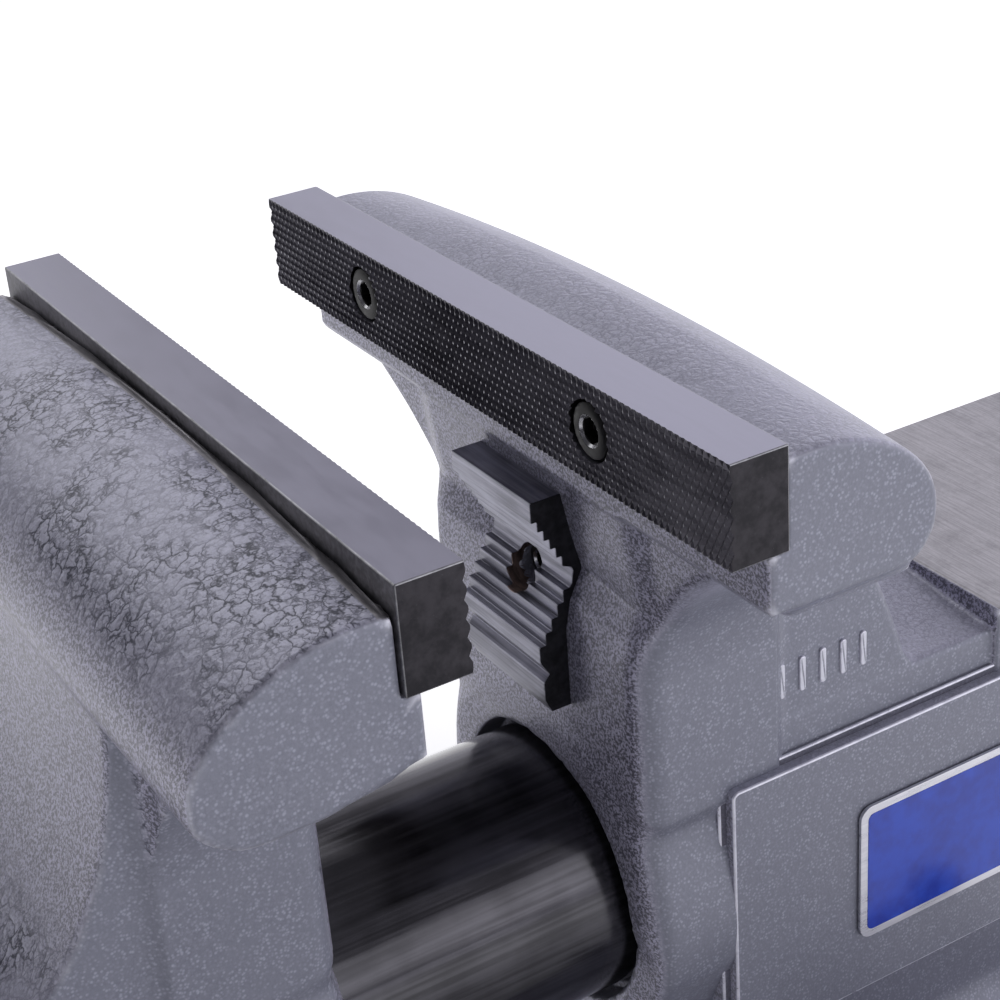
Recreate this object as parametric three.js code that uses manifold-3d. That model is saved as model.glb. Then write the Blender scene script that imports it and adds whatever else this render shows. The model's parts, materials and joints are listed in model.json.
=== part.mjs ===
// Bench vise with a round slide bar, pipe jaws, an anvil and a swivel base.
// Millimetres, +Z up. The origin is the centre of the base's bench face, on the swivel axis.
// +Y runs from the handle end to the anvil, and X runs across the jaws.

import * as THREE from 'three';
import { mergeVertices } from 'three/addons/utils/BufferGeometryUtils.js';
import Module from 'manifold-3d';

const wasm = await Module();
wasm.setup();

// ---------------------------------------------------------------- driving dimensions

const GAP = 0.3; // room kept between two pieces that touch
const JAW_TOP = 254; // height of the insert tops over the bench
const STATIC_FACE_Y = -75; // face of the fixed insert
const OPENING = 48.1; // distance between the insert faces as modelled
const MOVING_FACE_Y = STATIC_FACE_Y - OPENING;

const INSERT = { width: 165.1, thickness: 11.75, height: 19.5, screwX: 41.3 };
const HEAD_HALF_WIDTH = 81.7;
const SEAT_DEPTH = INSERT.thickness + GAP;
const CASTING_FACE = 8.4; // how far the casting under an insert stands behind its face

const NECK = { halfWidth: 38.2, face: 11.2, flareDepth: 38, flareDrop: 67, flareHalfWidth: 80 };
const HEAD_UNDERSIDE = 31.7; // drop of the head's underside below the insert tops

const BAR = { radius: 30, boreRadius: 20, drop: 130.8, slotHalfWidth: 6.5, slotFront: -86, slotRear: 108 };
const BAR_Z = JAW_TOP - BAR.drop;
const BAR_CLEARANCE = 0.35;
const BARREL_RADIUS = 41.5;
const MOUTH = { radius: 32.15, depth: 5 };

const BODY = { shelfDrop: 88.4, shelfRise: 4.4, neckRear: 76.5, shoulderRear: 162, rear: 176 };
const ANVIL = { front: 100, rear: 188, halfWidth: 40, topDrop: 83, underDrop: 118 };
const PANEL = {
  firstHalfWidth: 39.5, halfWidth: 42, front: 27, rear: 164, topDrop: 96.7, bottomDrop: 166.8, step: 1.8,
};

const FOOT = { radius: 97, bottom: 30.4, top: 44, opening: 40 };
const BASE = { radius: 104, top: 30, spigotRadius: 39.6, spigotTop: 40 };
const LUG = { count: 4, centreRadius: 117, halfWidth: 17, thickness: 14, holeRadius: 6.75 };
const LOCK = {
  radius: 80, headHalf: 11, headBottom: 10.5, headTop: 19.5, shankRadius: 6, shankTop: 58,
  washerRadius: 15, washerTop: 3, nutRadius: 12, nutTop: 79,
  barZ: 68, barRadius: 4.5, barHalfLength: 46, knobRadius: 7.5,
};

const SPINDLE = { radius: 11, hubRadius: 19, hubFront: -288, hubRear: -242.3, tip: 115 };
const HANDLE = { radius: 8, y: -266, halfLength: 128, knobRadius: 13 };

const NUT = {
  radius: 18.5, front: -45, rear: -3, postHalfWidth: 5.7, postFront: -36, postRear: -12, seatZ: 84,
  tapRadius: 3.3, boltRadius: 3, boltHeadRadius: 5, boltHeadBottom: 70.7, boltHeadTop: 75.7, boltTop: 97,
};

const MOVING_BODY = { rear: MOVING_FACE_Y - NECK.face, front: -227, bossFront: -235, bossRadius: 35 };
const BAR_FRONT = -215;
const BAR_REAR = 120;

// ---------------------------------------------------------------- geometry helpers

// A three.js geometry as a manifold solid, whichever way its triangles were wound.
function solid(geometry) {
  const bare = new THREE.BufferGeometry();
  bare.setAttribute('position', geometry.getAttribute('position').clone());
  if (geometry.index) bare.setIndex(geometry.index.clone());
  const merged = mergeVertices(bare, 1e-4);
  const positions = merged.getAttribute('position').array;
  const index = merged.index.array;
  const point = (i) => new THREE.Vector3().fromArray(positions, 3 * i);
  const triangles = [];
  let volume = 0;
  for (let i = 0; i < index.length; i += 3) {
    const [a, b, c] = [index[i], index[i + 1], index[i + 2]];
    if (a === b || b === c || c === a) continue;
    triangles.push(a, b, c);
    volume += point(a).dot(point(b).cross(point(c)));
  }
  if (volume < 0) triangles.reverse();
  return new wasm.Manifold(new wasm.Mesh({
    numProp: 3,
    vertProperties: new Float32Array(positions),
    triVerts: new Uint32Array(triangles),
  }));
}

// A manifold solid back as a three.js geometry.
function toGeometry(shape) {
  const mesh = shape.getMesh();
  const geometry = new THREE.BufferGeometry();
  geometry.setAttribute('position', new THREE.BufferAttribute(mesh.vertProperties, 3));
  geometry.setIndex(new THREE.BufferAttribute(mesh.triVerts, 1));
  geometry.computeVertexNormals();
  return geometry;
}

function union(...shapes) {
  return shapes.flat().reduce((whole, next) => whole.add(next));
}

function cut(shape, ...tools) {
  return tools.flat().reduce((left, tool) => left.subtract(tool), shape);
}

// A box between two values on each axis.
function block([x0, x1], [y0, y1], [z0, z1]) {
  const box = new THREE.BoxGeometry(x1 - x0, y1 - y0, z1 - z0);
  return solid(box.translate((x0 + x1) / 2, (y0 + y1) / 2, (z0 + z1) / 2));
}

// A round rod along one axis: from and to are its ends, at is its place on the other two axes.
function rod(axis, radius, from, to, at, segments = 20, endRadius = radius) {
  const shape = new THREE.CylinderGeometry(endRadius, radius, to - from, segments);
  shape.translate(0, (from + to) / 2, 0);
  if (axis === 'x') shape.rotateZ(-Math.PI / 2).translate(0, at[0], at[1]);
  if (axis === 'y') shape.translate(at[0], 0, at[1]);
  if (axis === 'z') shape.rotateX(Math.PI / 2).translate(at[0], at[1], 0);
  return solid(shape);
}

function shapeOf(points) {
  return new THREE.Shape(points.map(([u, v]) => new THREE.Vector2(u, v)));
}

// An outline of [y, z] points pushed along X.
function extrudeX(points, x0, x1) {
  const geometry = new THREE.ExtrudeGeometry(shapeOf(points), { depth: x1 - x0, bevelEnabled: false });
  const turn = new THREE.Matrix4().set(0, 0, 1, x0, 1, 0, 0, 0, 0, 1, 0, 0, 0, 0, 0, 1);
  return solid(geometry.applyMatrix4(turn));
}

// An outline of [x, z] points pushed along Y.
function extrudeY(points, y0, y1) {
  const geometry = new THREE.ExtrudeGeometry(shapeOf(points), { depth: y1 - y0, bevelEnabled: false });
  return solid(geometry.rotateX(Math.PI / 2).translate(0, y1, 0));
}

// A profile of [radius, z] points turned round a vertical axis through [x, y].
function turned(profile, [x, y] = [0, 0], segments = 40) {
  const points = profile.map(([r, z]) => new THREE.Vector2(r, z));
  const geometry = new THREE.LatheGeometry(points, segments);
  return solid(geometry.rotateX(Math.PI / 2).translate(x, y, 0));
}

// A profile of [radius, y] points turned round the spindle's axis.
function turnedOnSpindle(profile, segments = 26) {
  const points = profile.map(([r, y]) => new THREE.Vector2(r, y));
  return solid(new THREE.LatheGeometry(points, segments).translate(0, 0, BAR_Z));
}

// Points of an arc, with angles in degrees; power 2 is an ellipse and less is flatter.
function arc([u, v], [a, b], from, to, steps, power = 2) {
  const soften = (value) => Math.sign(value) * Math.abs(value) ** (2 / power);
  return Array.from({ length: steps + 1 }, (_, i) => {
    const angle = THREE.MathUtils.degToRad(from + ((to - from) * i) / steps);
    return [u + a * soften(Math.cos(angle)), v + b * soften(Math.sin(angle))];
  });
}

function bezier(start, control, end, steps) {
  const curve = new THREE.QuadraticBezierCurve(
    new THREE.Vector2(...start), new THREE.Vector2(...control), new THREE.Vector2(...end));
  return curve.getPoints(steps).map((p) => [p.x, p.y]);
}

// ---------------------------------------------------------------- materials

function finish(color, roughness, metalness) {
  return new THREE.MeshStandardMaterial({ color, roughness, metalness });
}

const MATERIALS = {
  paint: finish(0x8f90a0, 0.35, 0.55),
  blackOxide: finish(0x2b292d, 0.42, 0.85),
  pipeSteel: finish(0x77777f, 0.4, 0.95),
  barSteel: finish(0x202024, 0.2, 0.9),
  screwSteel: finish(0x1d1c1f, 0.4, 0.85),
  plainSteel: finish(0xa3a3a8, 0.3, 1),
  bronze: finish(0x9a6b3c, 0.4, 1),
  castIron: finish(0x3c3c3f, 0.45, 0.9),
  castBase: finish(0x85869a, 0.4, 0.5),
  label: finish(0x1430a8, 0.35, 0.2),
};

const vise = new THREE.Group();
vise.name = 'bench_vise';

function addPart(name, shape, material) {
  const mesh = new THREE.Mesh(toGeometry(shape), material);
  mesh.name = name;
  vise.add(mesh);
}

// ---------------------------------------------------------------- jaws

// Both jaws share one set of outlines: [depth behind the insert's face, drop below the insert tops].
const staticSide = ([depth, drop]) => [STATIC_FACE_Y + depth, JAW_TOP - drop];
const movingSide = ([depth, drop]) => [MOVING_FACE_Y - depth, JAW_TOP - drop];

const STATIC_HEAD = [
  [SEAT_DEPTH, 3.1],
  ...arc([16.5, 22.5], [28.1, -19.6], 90, 0, 14, 1.95),
  ...arc([35.6, 22.7], [9, 9], 0, 90, 4),
  [CASTING_FACE, HEAD_UNDERSIDE],
  [CASTING_FACE, INSERT.height + GAP],
  [SEAT_DEPTH, INSERT.height + GAP],
];

const MOVING_HEAD = [
  [SEAT_DEPTH, 3.8],
  [SEAT_DEPTH + 1.3, 3.8],
  ...arc([18.4, 25.5], [29.4, -22.1], 90, 0, 14, 1.85),
  ...arc([34.8, 26.6], [13, 9.2], 0, 90, 5),
  [26.5, 35.3],
  [CASTING_FACE, HEAD_UNDERSIDE],
  [CASTING_FACE, INSERT.height + GAP],
  [SEAT_DEPTH, INSERT.height + GAP],
];

// The neck under a head, seen along Y: two upright sides that flare out almost to the head's full width.
function neckOutline(lowest) {
  const { halfWidth, flareDrop, flareHalfWidth } = NECK;
  const flare = bezier([halfWidth, -flareDrop], [42.5, -48], [62, -35.6], 8);
  const edge = [[flareHalfWidth, -34.2], [flareHalfWidth, -HEAD_UNDERSIDE + 3]];
  const side = [[halfWidth, -lowest], ...flare, ...edge];
  const mirrored = side.map(([x, z]) => [-x, z]).reverse();
  return [...side, ...mirrored].map(([x, z]) => [x, JAW_TOP + z]);
}

// The back of a pipe jaw, as [depth, drop] points; the groove across the neck's front follows it.
const PIPE_BACK = [[11.4, 35.4], [13.4, 45.4], [15.4, 53.3], [12.2, 59.5], [10.9, 66]];

function neckGroove(side) {
  const back = PIPE_BACK.map(([depth, drop]) => [depth + GAP, drop]);
  const front = NECK.face - 3;
  const outline = [[front, HEAD_UNDERSIDE], [back[0][0], HEAD_UNDERSIDE], ...back, [front, 66]];
  return extrudeX(outline.map(side), -HEAD_HALF_WIDTH - 1, HEAD_HALF_WIDTH + 1);
}

const insertScrewPlaces = [-INSERT.screwX, INSERT.screwX];
const INSERT_SCREW = { headRadius: 5.6, shankRadius: 3.7, headDepth: 0.4, headEnd: 7.2, end: 15.4 };
const INSERT_MIDDLE_Z = JAW_TOP - INSERT.height / 2;

// A span on Y that starts and ends so far behind an insert's face.
function span(face, direction, near, far) {
  return direction > 0 ? [face + near, face + far] : [face - far, face - near];
}

function makeInsert(face, direction) {
  const [y0, y1] = span(face, direction, 0, INSERT.thickness);
  const half = INSERT.width / 2;
  const insert = block([-half, half], [y0, y1], [JAW_TOP - INSERT.height, JAW_TOP]);
  const holeAt = (x) => screwHole(face, direction, [x, INSERT_MIDDLE_Z], INSERT_SCREW);
  return cut(insert, insertScrewPlaces.map(holeAt));
}

// A socket head screw along Y with a six-sided socket in its head.
function socketScrew(face, direction, at, { headRadius, shankRadius, headDepth, headEnd, end }) {
  const screw = union(
    rod('y', headRadius, ...span(face, direction, headDepth, headEnd), at, 20),
    rod('y', shankRadius, ...span(face, direction, headEnd - 1, end), at, 14));
  const socket = span(face, direction, headDepth - 1, (headDepth + headEnd) / 2);
  return cut(screw, rod('y', headRadius * 0.52, ...socket, at, 6));
}

// The room such a screw needs, open towards the jaw's face.
function screwHole(face, direction, at, { headRadius, shankRadius, headEnd, end }) {
  return union(
    rod('y', headRadius + GAP, ...span(face, direction, -1, headEnd + GAP), at, 20),
    rod('y', shankRadius + GAP, ...span(face, direction, 0, end + 1), at, 16));
}

// ---------------------------------------------------------------- pipe jaws

const PIPE = { halfWidth: 14.8, top: 35.7, bottom: 83.3, screwDrop: 58.2 };
const PIPE_SCREW = { headRadius: 4.1, shankRadius: 2.9, headDepth: 11.4, headEnd: 14.8, end: 33.4 };

// Saw teeth between two [depth, drop] points; each step goes down first on an upper flank.
function teeth([depth0, drop0], [depth1, drop1], count, upper) {
  return Array.from({ length: count }, (_, i) => {
    const at = (k) => [depth0 + ((depth1 - depth0) * k) / count, drop0 + ((drop1 - drop0) * k) / count];
    const [here, next] = [at(i), at(i + 1)];
    return [here, upper ? [here[0], next[1]] : [next[0], here[1]]];
  }).flat();
}

// Round the notch's two toothed flanks and the lower lip, then up the back.
const PIPE_OUTLINE = [
  ...teeth([3, PIPE.top + 2.2], [10.6, 51.6], 6, true),
  [11.4, 52.4],
  [11.7, 53.3],
  [11.2, 56],
  ...teeth([10.6, 56.8], [2.9, 70.4], 5, false),
  [2.9, 71.4],
  [4.8, 74.4],
  [3.4, 76],
  [3.4, 80.2],
  [4.8, PIPE.bottom],
  [10.9, PIPE.bottom],
  ...PIPE_BACK.slice(1).reverse(),
  [11.4, PIPE.top],
  [3, PIPE.top],
];
const PIPE_SCREW_Z = JAW_TOP - PIPE.screwDrop;

function makePipeJaw(side, face, direction) {
  const jaw = extrudeX(PIPE_OUTLINE.map(side), -PIPE.halfWidth, PIPE.halfWidth);
  return cut(jaw, screwHole(face, direction, [0, PIPE_SCREW_Z], PIPE_SCREW));
}

// What both jaw castings lose to the pieces that are screwed to them.
function jawCuts(side, face, direction) {
  const insertHoles = insertScrewPlaces.map(
    (x) => screwHole(face, direction, [x, INSERT_MIDDLE_Z], INSERT_SCREW));
  return [...insertHoles, screwHole(face, direction, [0, PIPE_SCREW_Z], PIPE_SCREW), neckGroove(side)];
}

// ---------------------------------------------------------------- fixed jaw, body and anvil

function boreAlong(y0, y1, radius = BAR.radius + BAR_CLEARANCE) {
  return rod('y', radius, y0, y1, [0, BAR_Z], 40);
}

// The pillar under the body, as [y, z] points.
const PEDESTAL_SIDE = [
  [-61.5, BAR_Z], [83, BAR_Z], [71, 92], [64, 70], [62, 34], [-62, 34], [-60, 62], [-61.5, 84],
];
const PEDESTAL_HALF_WIDTH = 30;

function makeStaticBody() {
  const face = STATIC_FACE_Y + NECK.face;
  const rear = STATIC_FACE_Y + BODY.rear;
  const shelfZ = JAW_TOP - BODY.shelfDrop;

  const head = extrudeX(STATIC_HEAD.map(staticSide), -HEAD_HALF_WIDTH, HEAD_HALF_WIDTH);
  const flare = extrudeY(neckOutline(100), face, STATIC_FACE_Y + NECK.flareDepth);
  const neckSide = [
    [NECK.face, 28], ...bezier([41, 27], [64, 45], [BODY.neckRear, 85], 8),
    [BODY.neckRear + 2.5, BODY.shelfDrop], [ANVIL.front + 10, BODY.shelfDrop],
    [ANVIL.front + 10, BAR.drop], [NECK.face, BAR.drop],
  ];
  const neck = extrudeX(neckSide.map(staticSide), -NECK.halfWidth, NECK.halfWidth);
  const roof = extrudeY([
    [-NECK.halfWidth, shelfZ - 4], [NECK.halfWidth, shelfZ - 4], [NECK.halfWidth, shelfZ],
    [0, shelfZ + BODY.shelfRise], [-NECK.halfWidth, shelfZ],
  ], STATIC_FACE_Y + BODY.neckRear - 20, STATIC_FACE_Y + ANVIL.front + 10);
  const anvilSide = [
    [ANVIL.front, ANVIL.topDrop], [ANVIL.rear, ANVIL.topDrop], [ANVIL.rear, ANVIL.topDrop + 17],
    [ANVIL.rear - 20, ANVIL.underDrop], [ANVIL.front, ANVIL.underDrop + 14],
  ];
  const anvil = extrudeX(anvilSide.map(staticSide), -ANVIL.halfWidth, ANVIL.halfWidth);

  const barrel = rod('y', BARREL_RADIUS, face, rear, [0, BAR_Z], 40);
  const shoulder = block([-NECK.halfWidth, NECK.halfWidth],
    [face, STATIC_FACE_Y + BODY.shoulderRear], [BAR_Z - 4, shelfZ - 4]);
  const panels = [[PANEL.firstHalfWidth, 0], [PANEL.halfWidth, PANEL.step]].map(([half, inset]) => block(
    [-half, half], [STATIC_FACE_Y + PANEL.front + inset, STATIC_FACE_Y + PANEL.rear - inset],
    [JAW_TOP - PANEL.bottomDrop + inset, JAW_TOP - PANEL.topDrop - inset]));

  const pedestal = extrudeX(PEDESTAL_SIDE, -PEDESTAL_HALF_WIDTH, PEDESTAL_HALF_WIDTH);
  const foot = turned([
    [0, FOOT.bottom], [FOOT.radius, FOOT.bottom], [FOOT.radius, FOOT.top - 3], [FOOT.radius - 3, FOOT.top],
    [62, FOOT.top], [46, FOOT.top + 7], [0, FOOT.top + 7],
  ]);

  const cavity = union(
    turned([[0, 20], [FOOT.opening, 20], [FOOT.opening, 42], [32, 46], [0, 46]]),
    block([-19, 19], [-46, 46], [40, 76]));
  const nutMiddle = (NUT.postFront + NUT.postRear) / 2;
  const nutPocket = union(
    block([-NUT.postHalfWidth - GAP, NUT.postHalfWidth + GAP], [NUT.postFront - GAP, NUT.postRear + GAP],
      [NUT.seatZ, BAR_Z - BAR.radius + 2]),
    rod('z', NUT.tapRadius, NUT.boltHeadBottom, NUT.seatZ + 2, [0, nutMiddle], 14));
  const lockHoles = [-1, 1].map((s) => rod('z', LOCK.shankRadius + 0.5, 20, 60, [s * LOCK.radius, 0]));
  const mouth = boreAlong(face - 2, face + MOUTH.depth, MOUTH.radius);

  return cut(union(head, flare, neck, roof, anvil, barrel, shoulder, panels, pedestal, foot),
    boreAlong(face - 2, rear + 20), mouth, cavity, nutPocket, lockHoles,
    jawCuts(staticSide, STATIC_FACE_Y, 1));
}

addPart('static_jaw_body', makeStaticBody(), MATERIALS.paint);

// ---------------------------------------------------------------- moving jaw

const BAR_PIN = { radius: 4, places: [-185, -165], outer: BAR_Z - 41, inner: BAR_Z - 21.5 };

function makeMovingBody() {
  const { rear, front, bossFront, bossRadius } = MOVING_BODY;
  const head = extrudeX(MOVING_HEAD.map(movingSide), -HEAD_HALF_WIDTH, HEAD_HALF_WIDTH);
  const flare = extrudeY(neckOutline(100), MOVING_FACE_Y - NECK.flareDepth, rear);
  const neckSide = [
    [NECK.face, 28], [44, 30], ...bezier([44.5, 33], [46, 72], [74, 92], 8), [74, BAR.drop],
    [NECK.face, BAR.drop],
  ];
  const neck = extrudeX(neckSide.map(movingSide), -NECK.halfWidth, NECK.halfWidth);
  const barrel = rod('y', BARREL_RADIUS, front, rear, [0, BAR_Z], 40);
  const boss = rod('y', bossRadius, bossFront, front + 2, [0, BAR_Z], 40, BARREL_RADIUS - 1);
  const keel = block([-14, 14], [front + 8, rear - 6], [BAR_Z - 46, BAR_Z - 30]);
  const pins = BAR_PIN.places.map((y) => rod('z', BAR_PIN.radius + GAP, 60, BAR_Z - 24, [0, y], 14));
  return cut(union(head, flare, neck, barrel, boss, keel),
    boreAlong(BAR_FRONT - GAP, rear + 2, BAR.radius + GAP),
    rod('y', SPINDLE.radius + 0.6, bossFront - 2, BAR_FRONT + 1, [0, BAR_Z], 26),
    pins, jawCuts(movingSide, MOVING_FACE_Y, -1));
}

addPart('moving_jaw_body', makeMovingBody(), MATERIALS.paint);

// ---------------------------------------------------------------- inserts, pipe jaws and their screws

const JAWS = [
  { name: 'static', face: STATIC_FACE_Y, direction: 1, side: staticSide },
  { name: 'moving', face: MOVING_FACE_Y, direction: -1, side: movingSide },
];
for (const { name, face, direction, side } of JAWS) {
  addPart(`${name}_jaw_insert`, makeInsert(face, direction), MATERIALS.blackOxide);
  for (const x of insertScrewPlaces) {
    const screw = socketScrew(face, direction, [x, INSERT_MIDDLE_Z], INSERT_SCREW);
    addPart(`${name}_insert_screw_${x < 0 ? 'left' : 'right'}`, screw, MATERIALS.screwSteel);
  }
  addPart(`${name}_pipe_jaw`, makePipeJaw(side, face, direction), MATERIALS.pipeSteel);
  const pipeScrew = socketScrew(face, direction, [0, PIPE_SCREW_Z], PIPE_SCREW);
  addPart(`${name}_pipe_jaw_screw`, pipeScrew, MATERIALS.screwSteel);
}

// ---------------------------------------------------------------- slide bar

function makeSlideBar() {
  const tube = cut(rod('y', BAR.radius, BAR_FRONT, BAR_REAR, [0, BAR_Z], 40),
    rod('y', BAR.boreRadius, BAR_FRONT - 1, BAR_REAR + 1, [0, BAR_Z], 32));
  const slot = block([-BAR.slotHalfWidth, BAR.slotHalfWidth], [BAR.slotFront, BAR.slotRear],
    [BAR_Z - BAR.radius - 2, BAR_Z - 10]);
  const pins = BAR_PIN.places.map((y) => rod('z', BAR_PIN.radius + GAP, 80, BAR_Z - 15, [0, y], 14));
  return cut(tube, slot, pins);
}

addPart('slide_bar', makeSlideBar(), MATERIALS.barSteel);
BAR_PIN.places.forEach((y, i) => {
  const pin = rod('z', BAR_PIN.radius, BAR_PIN.outer, BAR_PIN.inner, [0, y], 14);
  addPart(`slide_bar_pin_${i + 1}`, pin, MATERIALS.plainSteel);
});
addPart('slide_bar_end_cap', turnedOnSpindle([
  [0, BAR_REAR - 3.5], [BAR.boreRadius - GAP, BAR_REAR - 3.5], [BAR.boreRadius - GAP, BAR_REAR + GAP],
  [BAR.radius - 2, BAR_REAR + GAP], [BAR.radius - 2, BAR_REAR + 2], [BAR.radius - 4, BAR_REAR + 3.5],
  [0, BAR_REAR + 3.5],
]), MATERIALS.screwSteel);

// ---------------------------------------------------------------- spindle, handle and nut

const COLLAR = { front: BAR_FRONT + 0.6, length: 10, radius: 17.5, pinRadius: 2 };
const THRUST = { rear: MOVING_BODY.bossFront - GAP, length: 6, radius: 20 };

function makeSpindle() {
  const { radius, hubRadius, hubFront, hubRear, tip } = SPINDLE;
  const body = turnedOnSpindle([
    [0, hubFront], [hubRadius - 5, hubFront], [hubRadius - 1, hubFront + 3], [hubRadius, hubFront + 8],
    [hubRadius, hubRear - 10], [hubRadius + 3, hubRear - 6], [hubRadius + 3, hubRear - 1],
    [hubRadius + 2, hubRear], [radius, hubRear], [radius, tip - 2], [radius - 2, tip], [0, tip],
  ]);
  const pinY = COLLAR.front + COLLAR.length / 2;
  return cut(body, rod('x', HANDLE.radius + 0.6, -40, 40, [HANDLE.y, BAR_Z], 22),
    rod('x', COLLAR.pinRadius + GAP, -20, 20, [pinY, BAR_Z], 12));
}

addPart('spindle', makeSpindle(), MATERIALS.plainSteel);

// A plain ring round the spindle between two places on Y.
function ring(innerRadius, outerRadius, y0, y1) {
  return turnedOnSpindle([
    [innerRadius, y0], [outerRadius, y0], [outerRadius, y1], [innerRadius, y1], [innerRadius, y0],
  ]);
}

const washer = ring(SPINDLE.radius + 0.6, THRUST.radius, THRUST.rear - THRUST.length, THRUST.rear);
addPart('spindle_thrust_washer', washer, MATERIALS.bronze);

const collarPinY = COLLAR.front + COLLAR.length / 2;
const collar = ring(SPINDLE.radius + GAP, COLLAR.radius, COLLAR.front, COLLAR.front + COLLAR.length);
const collarHole = rod('x', COLLAR.pinRadius + GAP, -25, 25, [collarPinY, BAR_Z], 12);
addPart('spindle_collar', cut(collar, collarHole), MATERIALS.plainSteel);
const collarPinEnd = COLLAR.radius - 0.5;
const collarPin = rod('x', COLLAR.pinRadius, -collarPinEnd, collarPinEnd, [collarPinY, BAR_Z], 12);
addPart('spindle_collar_pin', collarPin, MATERIALS.plainSteel);

const nutPostY = (NUT.postFront + NUT.postRear) / 2;

function makeNut() {
  const { radius, front, rear, postHalfWidth, postFront, postRear, seatZ, boltTop } = NUT;
  const round = rod('y', radius, front, rear, [0, BAR_Z], 26);
  const post = block([-postHalfWidth, postHalfWidth], [postFront, postRear], [seatZ + GAP, BAR_Z - 8]);
  return cut(union(round, post), rod('y', SPINDLE.radius + 0.4, front - 1, rear + 1, [0, BAR_Z], 26),
    rod('z', NUT.tapRadius, seatZ - 4, boltTop + 2, [0, nutPostY], 14));
}

function makeNutBolt() {
  const { boltRadius, boltHeadRadius, boltHeadBottom, boltHeadTop, boltTop } = NUT;
  const at = [0, nutPostY];
  const bolt = union(rod('z', boltHeadRadius, boltHeadBottom, boltHeadTop, at),
    rod('z', boltRadius, boltHeadTop - 1, boltTop, at, 12));
  return cut(bolt, rod('z', boltHeadRadius * 0.52, boltHeadBottom - 1, boltHeadTop - 2, at, 6));
}

addPart('spindle_nut', makeNut(), MATERIALS.castIron);
addPart('nut_bolt', makeNutBolt(), MATERIALS.screwSteel);

// A bar along X with a stepped end on each side that its knob is fitted to.
const KNOB_SPIGOT = 12;
const SPIGOT_RATIO = 0.7;

function makeHandBar(radius, halfLength, at) {
  const inner = halfLength - KNOB_SPIGOT;
  return union(rod('x', radius, -inner, inner, at, 18),
    rod('x', radius * SPIGOT_RATIO, -halfLength, halfLength, at, 12));
}

// The knob on the +X or -X end of such a bar, as a turned ball with a blind hole.
function makeKnob(sign, radius, halfLength, barRadius, at) {
  const inner = halfLength - KNOB_SPIGOT + GAP;
  const outer = inner + KNOB_SPIGOT + GAP + 4;
  const profile = [
    [0, inner], [barRadius + 1, inner], [radius - 1, inner + 3.5], [radius, inner + 7],
    [radius, outer - 6], [radius - 2, outer - 2], [radius - 5, outer], [0, outer],
  ];
  const points = profile.map(([r, x]) => new THREE.Vector2(r, x));
  const ball = new THREE.LatheGeometry(points, 18);
  ball.rotateZ(sign * -Math.PI / 2).translate(0, at[0], at[1]);
  const [x0, x1] = [inner - 1, halfLength + GAP].map((x) => x * sign).sort((p, q) => p - q);
  return cut(solid(ball), rod('x', barRadius * SPIGOT_RATIO + GAP, x0, x1, at, 12));
}

const handleAt = [HANDLE.y, BAR_Z];
addPart('handle_bar', makeHandBar(HANDLE.radius, HANDLE.halfLength, handleAt), MATERIALS.plainSteel);
for (const [side, sign] of [['left', -1], ['right', 1]]) {
  const knob = makeKnob(sign, HANDLE.knobRadius, HANDLE.halfLength, HANDLE.radius, handleAt);
  addPart(`handle_knob_${side}`, knob, MATERIALS.plainSteel);
}

// ---------------------------------------------------------------- nameplates

const NAMEPLATE = { front: 60.8, rear: 146, topDrop: 115.8, bottomDrop: 150, thickness: 0.9 };
for (const [side, sign] of [['left', -1], ['right', 1]]) {
  const inner = PANEL.halfWidth + GAP;
  const faces = [inner * sign, (inner + NAMEPLATE.thickness) * sign].sort((p, q) => p - q);
  addPart(`nameplate_${side}`, block(faces,
    [STATIC_FACE_Y + NAMEPLATE.front, STATIC_FACE_Y + NAMEPLATE.rear],
    [JAW_TOP - NAMEPLATE.bottomDrop, JAW_TOP - NAMEPLATE.topDrop]), MATERIALS.label);
}

// ---------------------------------------------------------------- swivel base and locks

function makeBase() {
  const { radius, top, spigotRadius, spigotTop } = BASE;
  const slot = LOCK.shankRadius + 0.8;
  const chamber = LOCK.headHalf + 5;
  const disc = turned([
    [0, 0], [24, 0], [25, 20], [32, 22], [54, 22], [60, 18], [61, 0], [radius, 0], [radius, top - 5],
    [radius - 4, top], [LOCK.radius + slot, top], [LOCK.radius + slot, 20.5], [LOCK.radius + chamber, 20.5],
    [LOCK.radius + chamber, 9], [LOCK.radius - chamber, 9], [LOCK.radius - chamber, 20.5],
    [LOCK.radius - slot, 20.5], [LOCK.radius - slot, top], [spigotRadius, top], [spigotRadius, spigotTop - 2],
    [spigotRadius - 2, spigotTop], [0, spigotTop],
  ]);
  const lugs = [];
  for (let i = 0; i < LUG.count; i += 1) {
    const angle = Math.PI / LUG.count + (i * 2 * Math.PI) / LUG.count;
    const arm = new THREE.BoxGeometry(LUG.centreRadius - 98, 2 * LUG.halfWidth, LUG.thickness);
    arm.translate((LUG.centreRadius + 98) / 2, 0, LUG.thickness / 2).rotateZ(angle);
    const at = [LUG.centreRadius * Math.cos(angle), LUG.centreRadius * Math.sin(angle)];
    const pad = rod('z', LUG.halfWidth, 0, LUG.thickness, at, 22);
    const hole = rod('z', LUG.holeRadius, -1, LUG.thickness + 1, at, 16);
    lugs.push(cut(union(solid(arm), pad), hole));
  }
  return union(disc, lugs);
}

addPart('swivel_base', makeBase(), MATERIALS.castBase);

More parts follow.
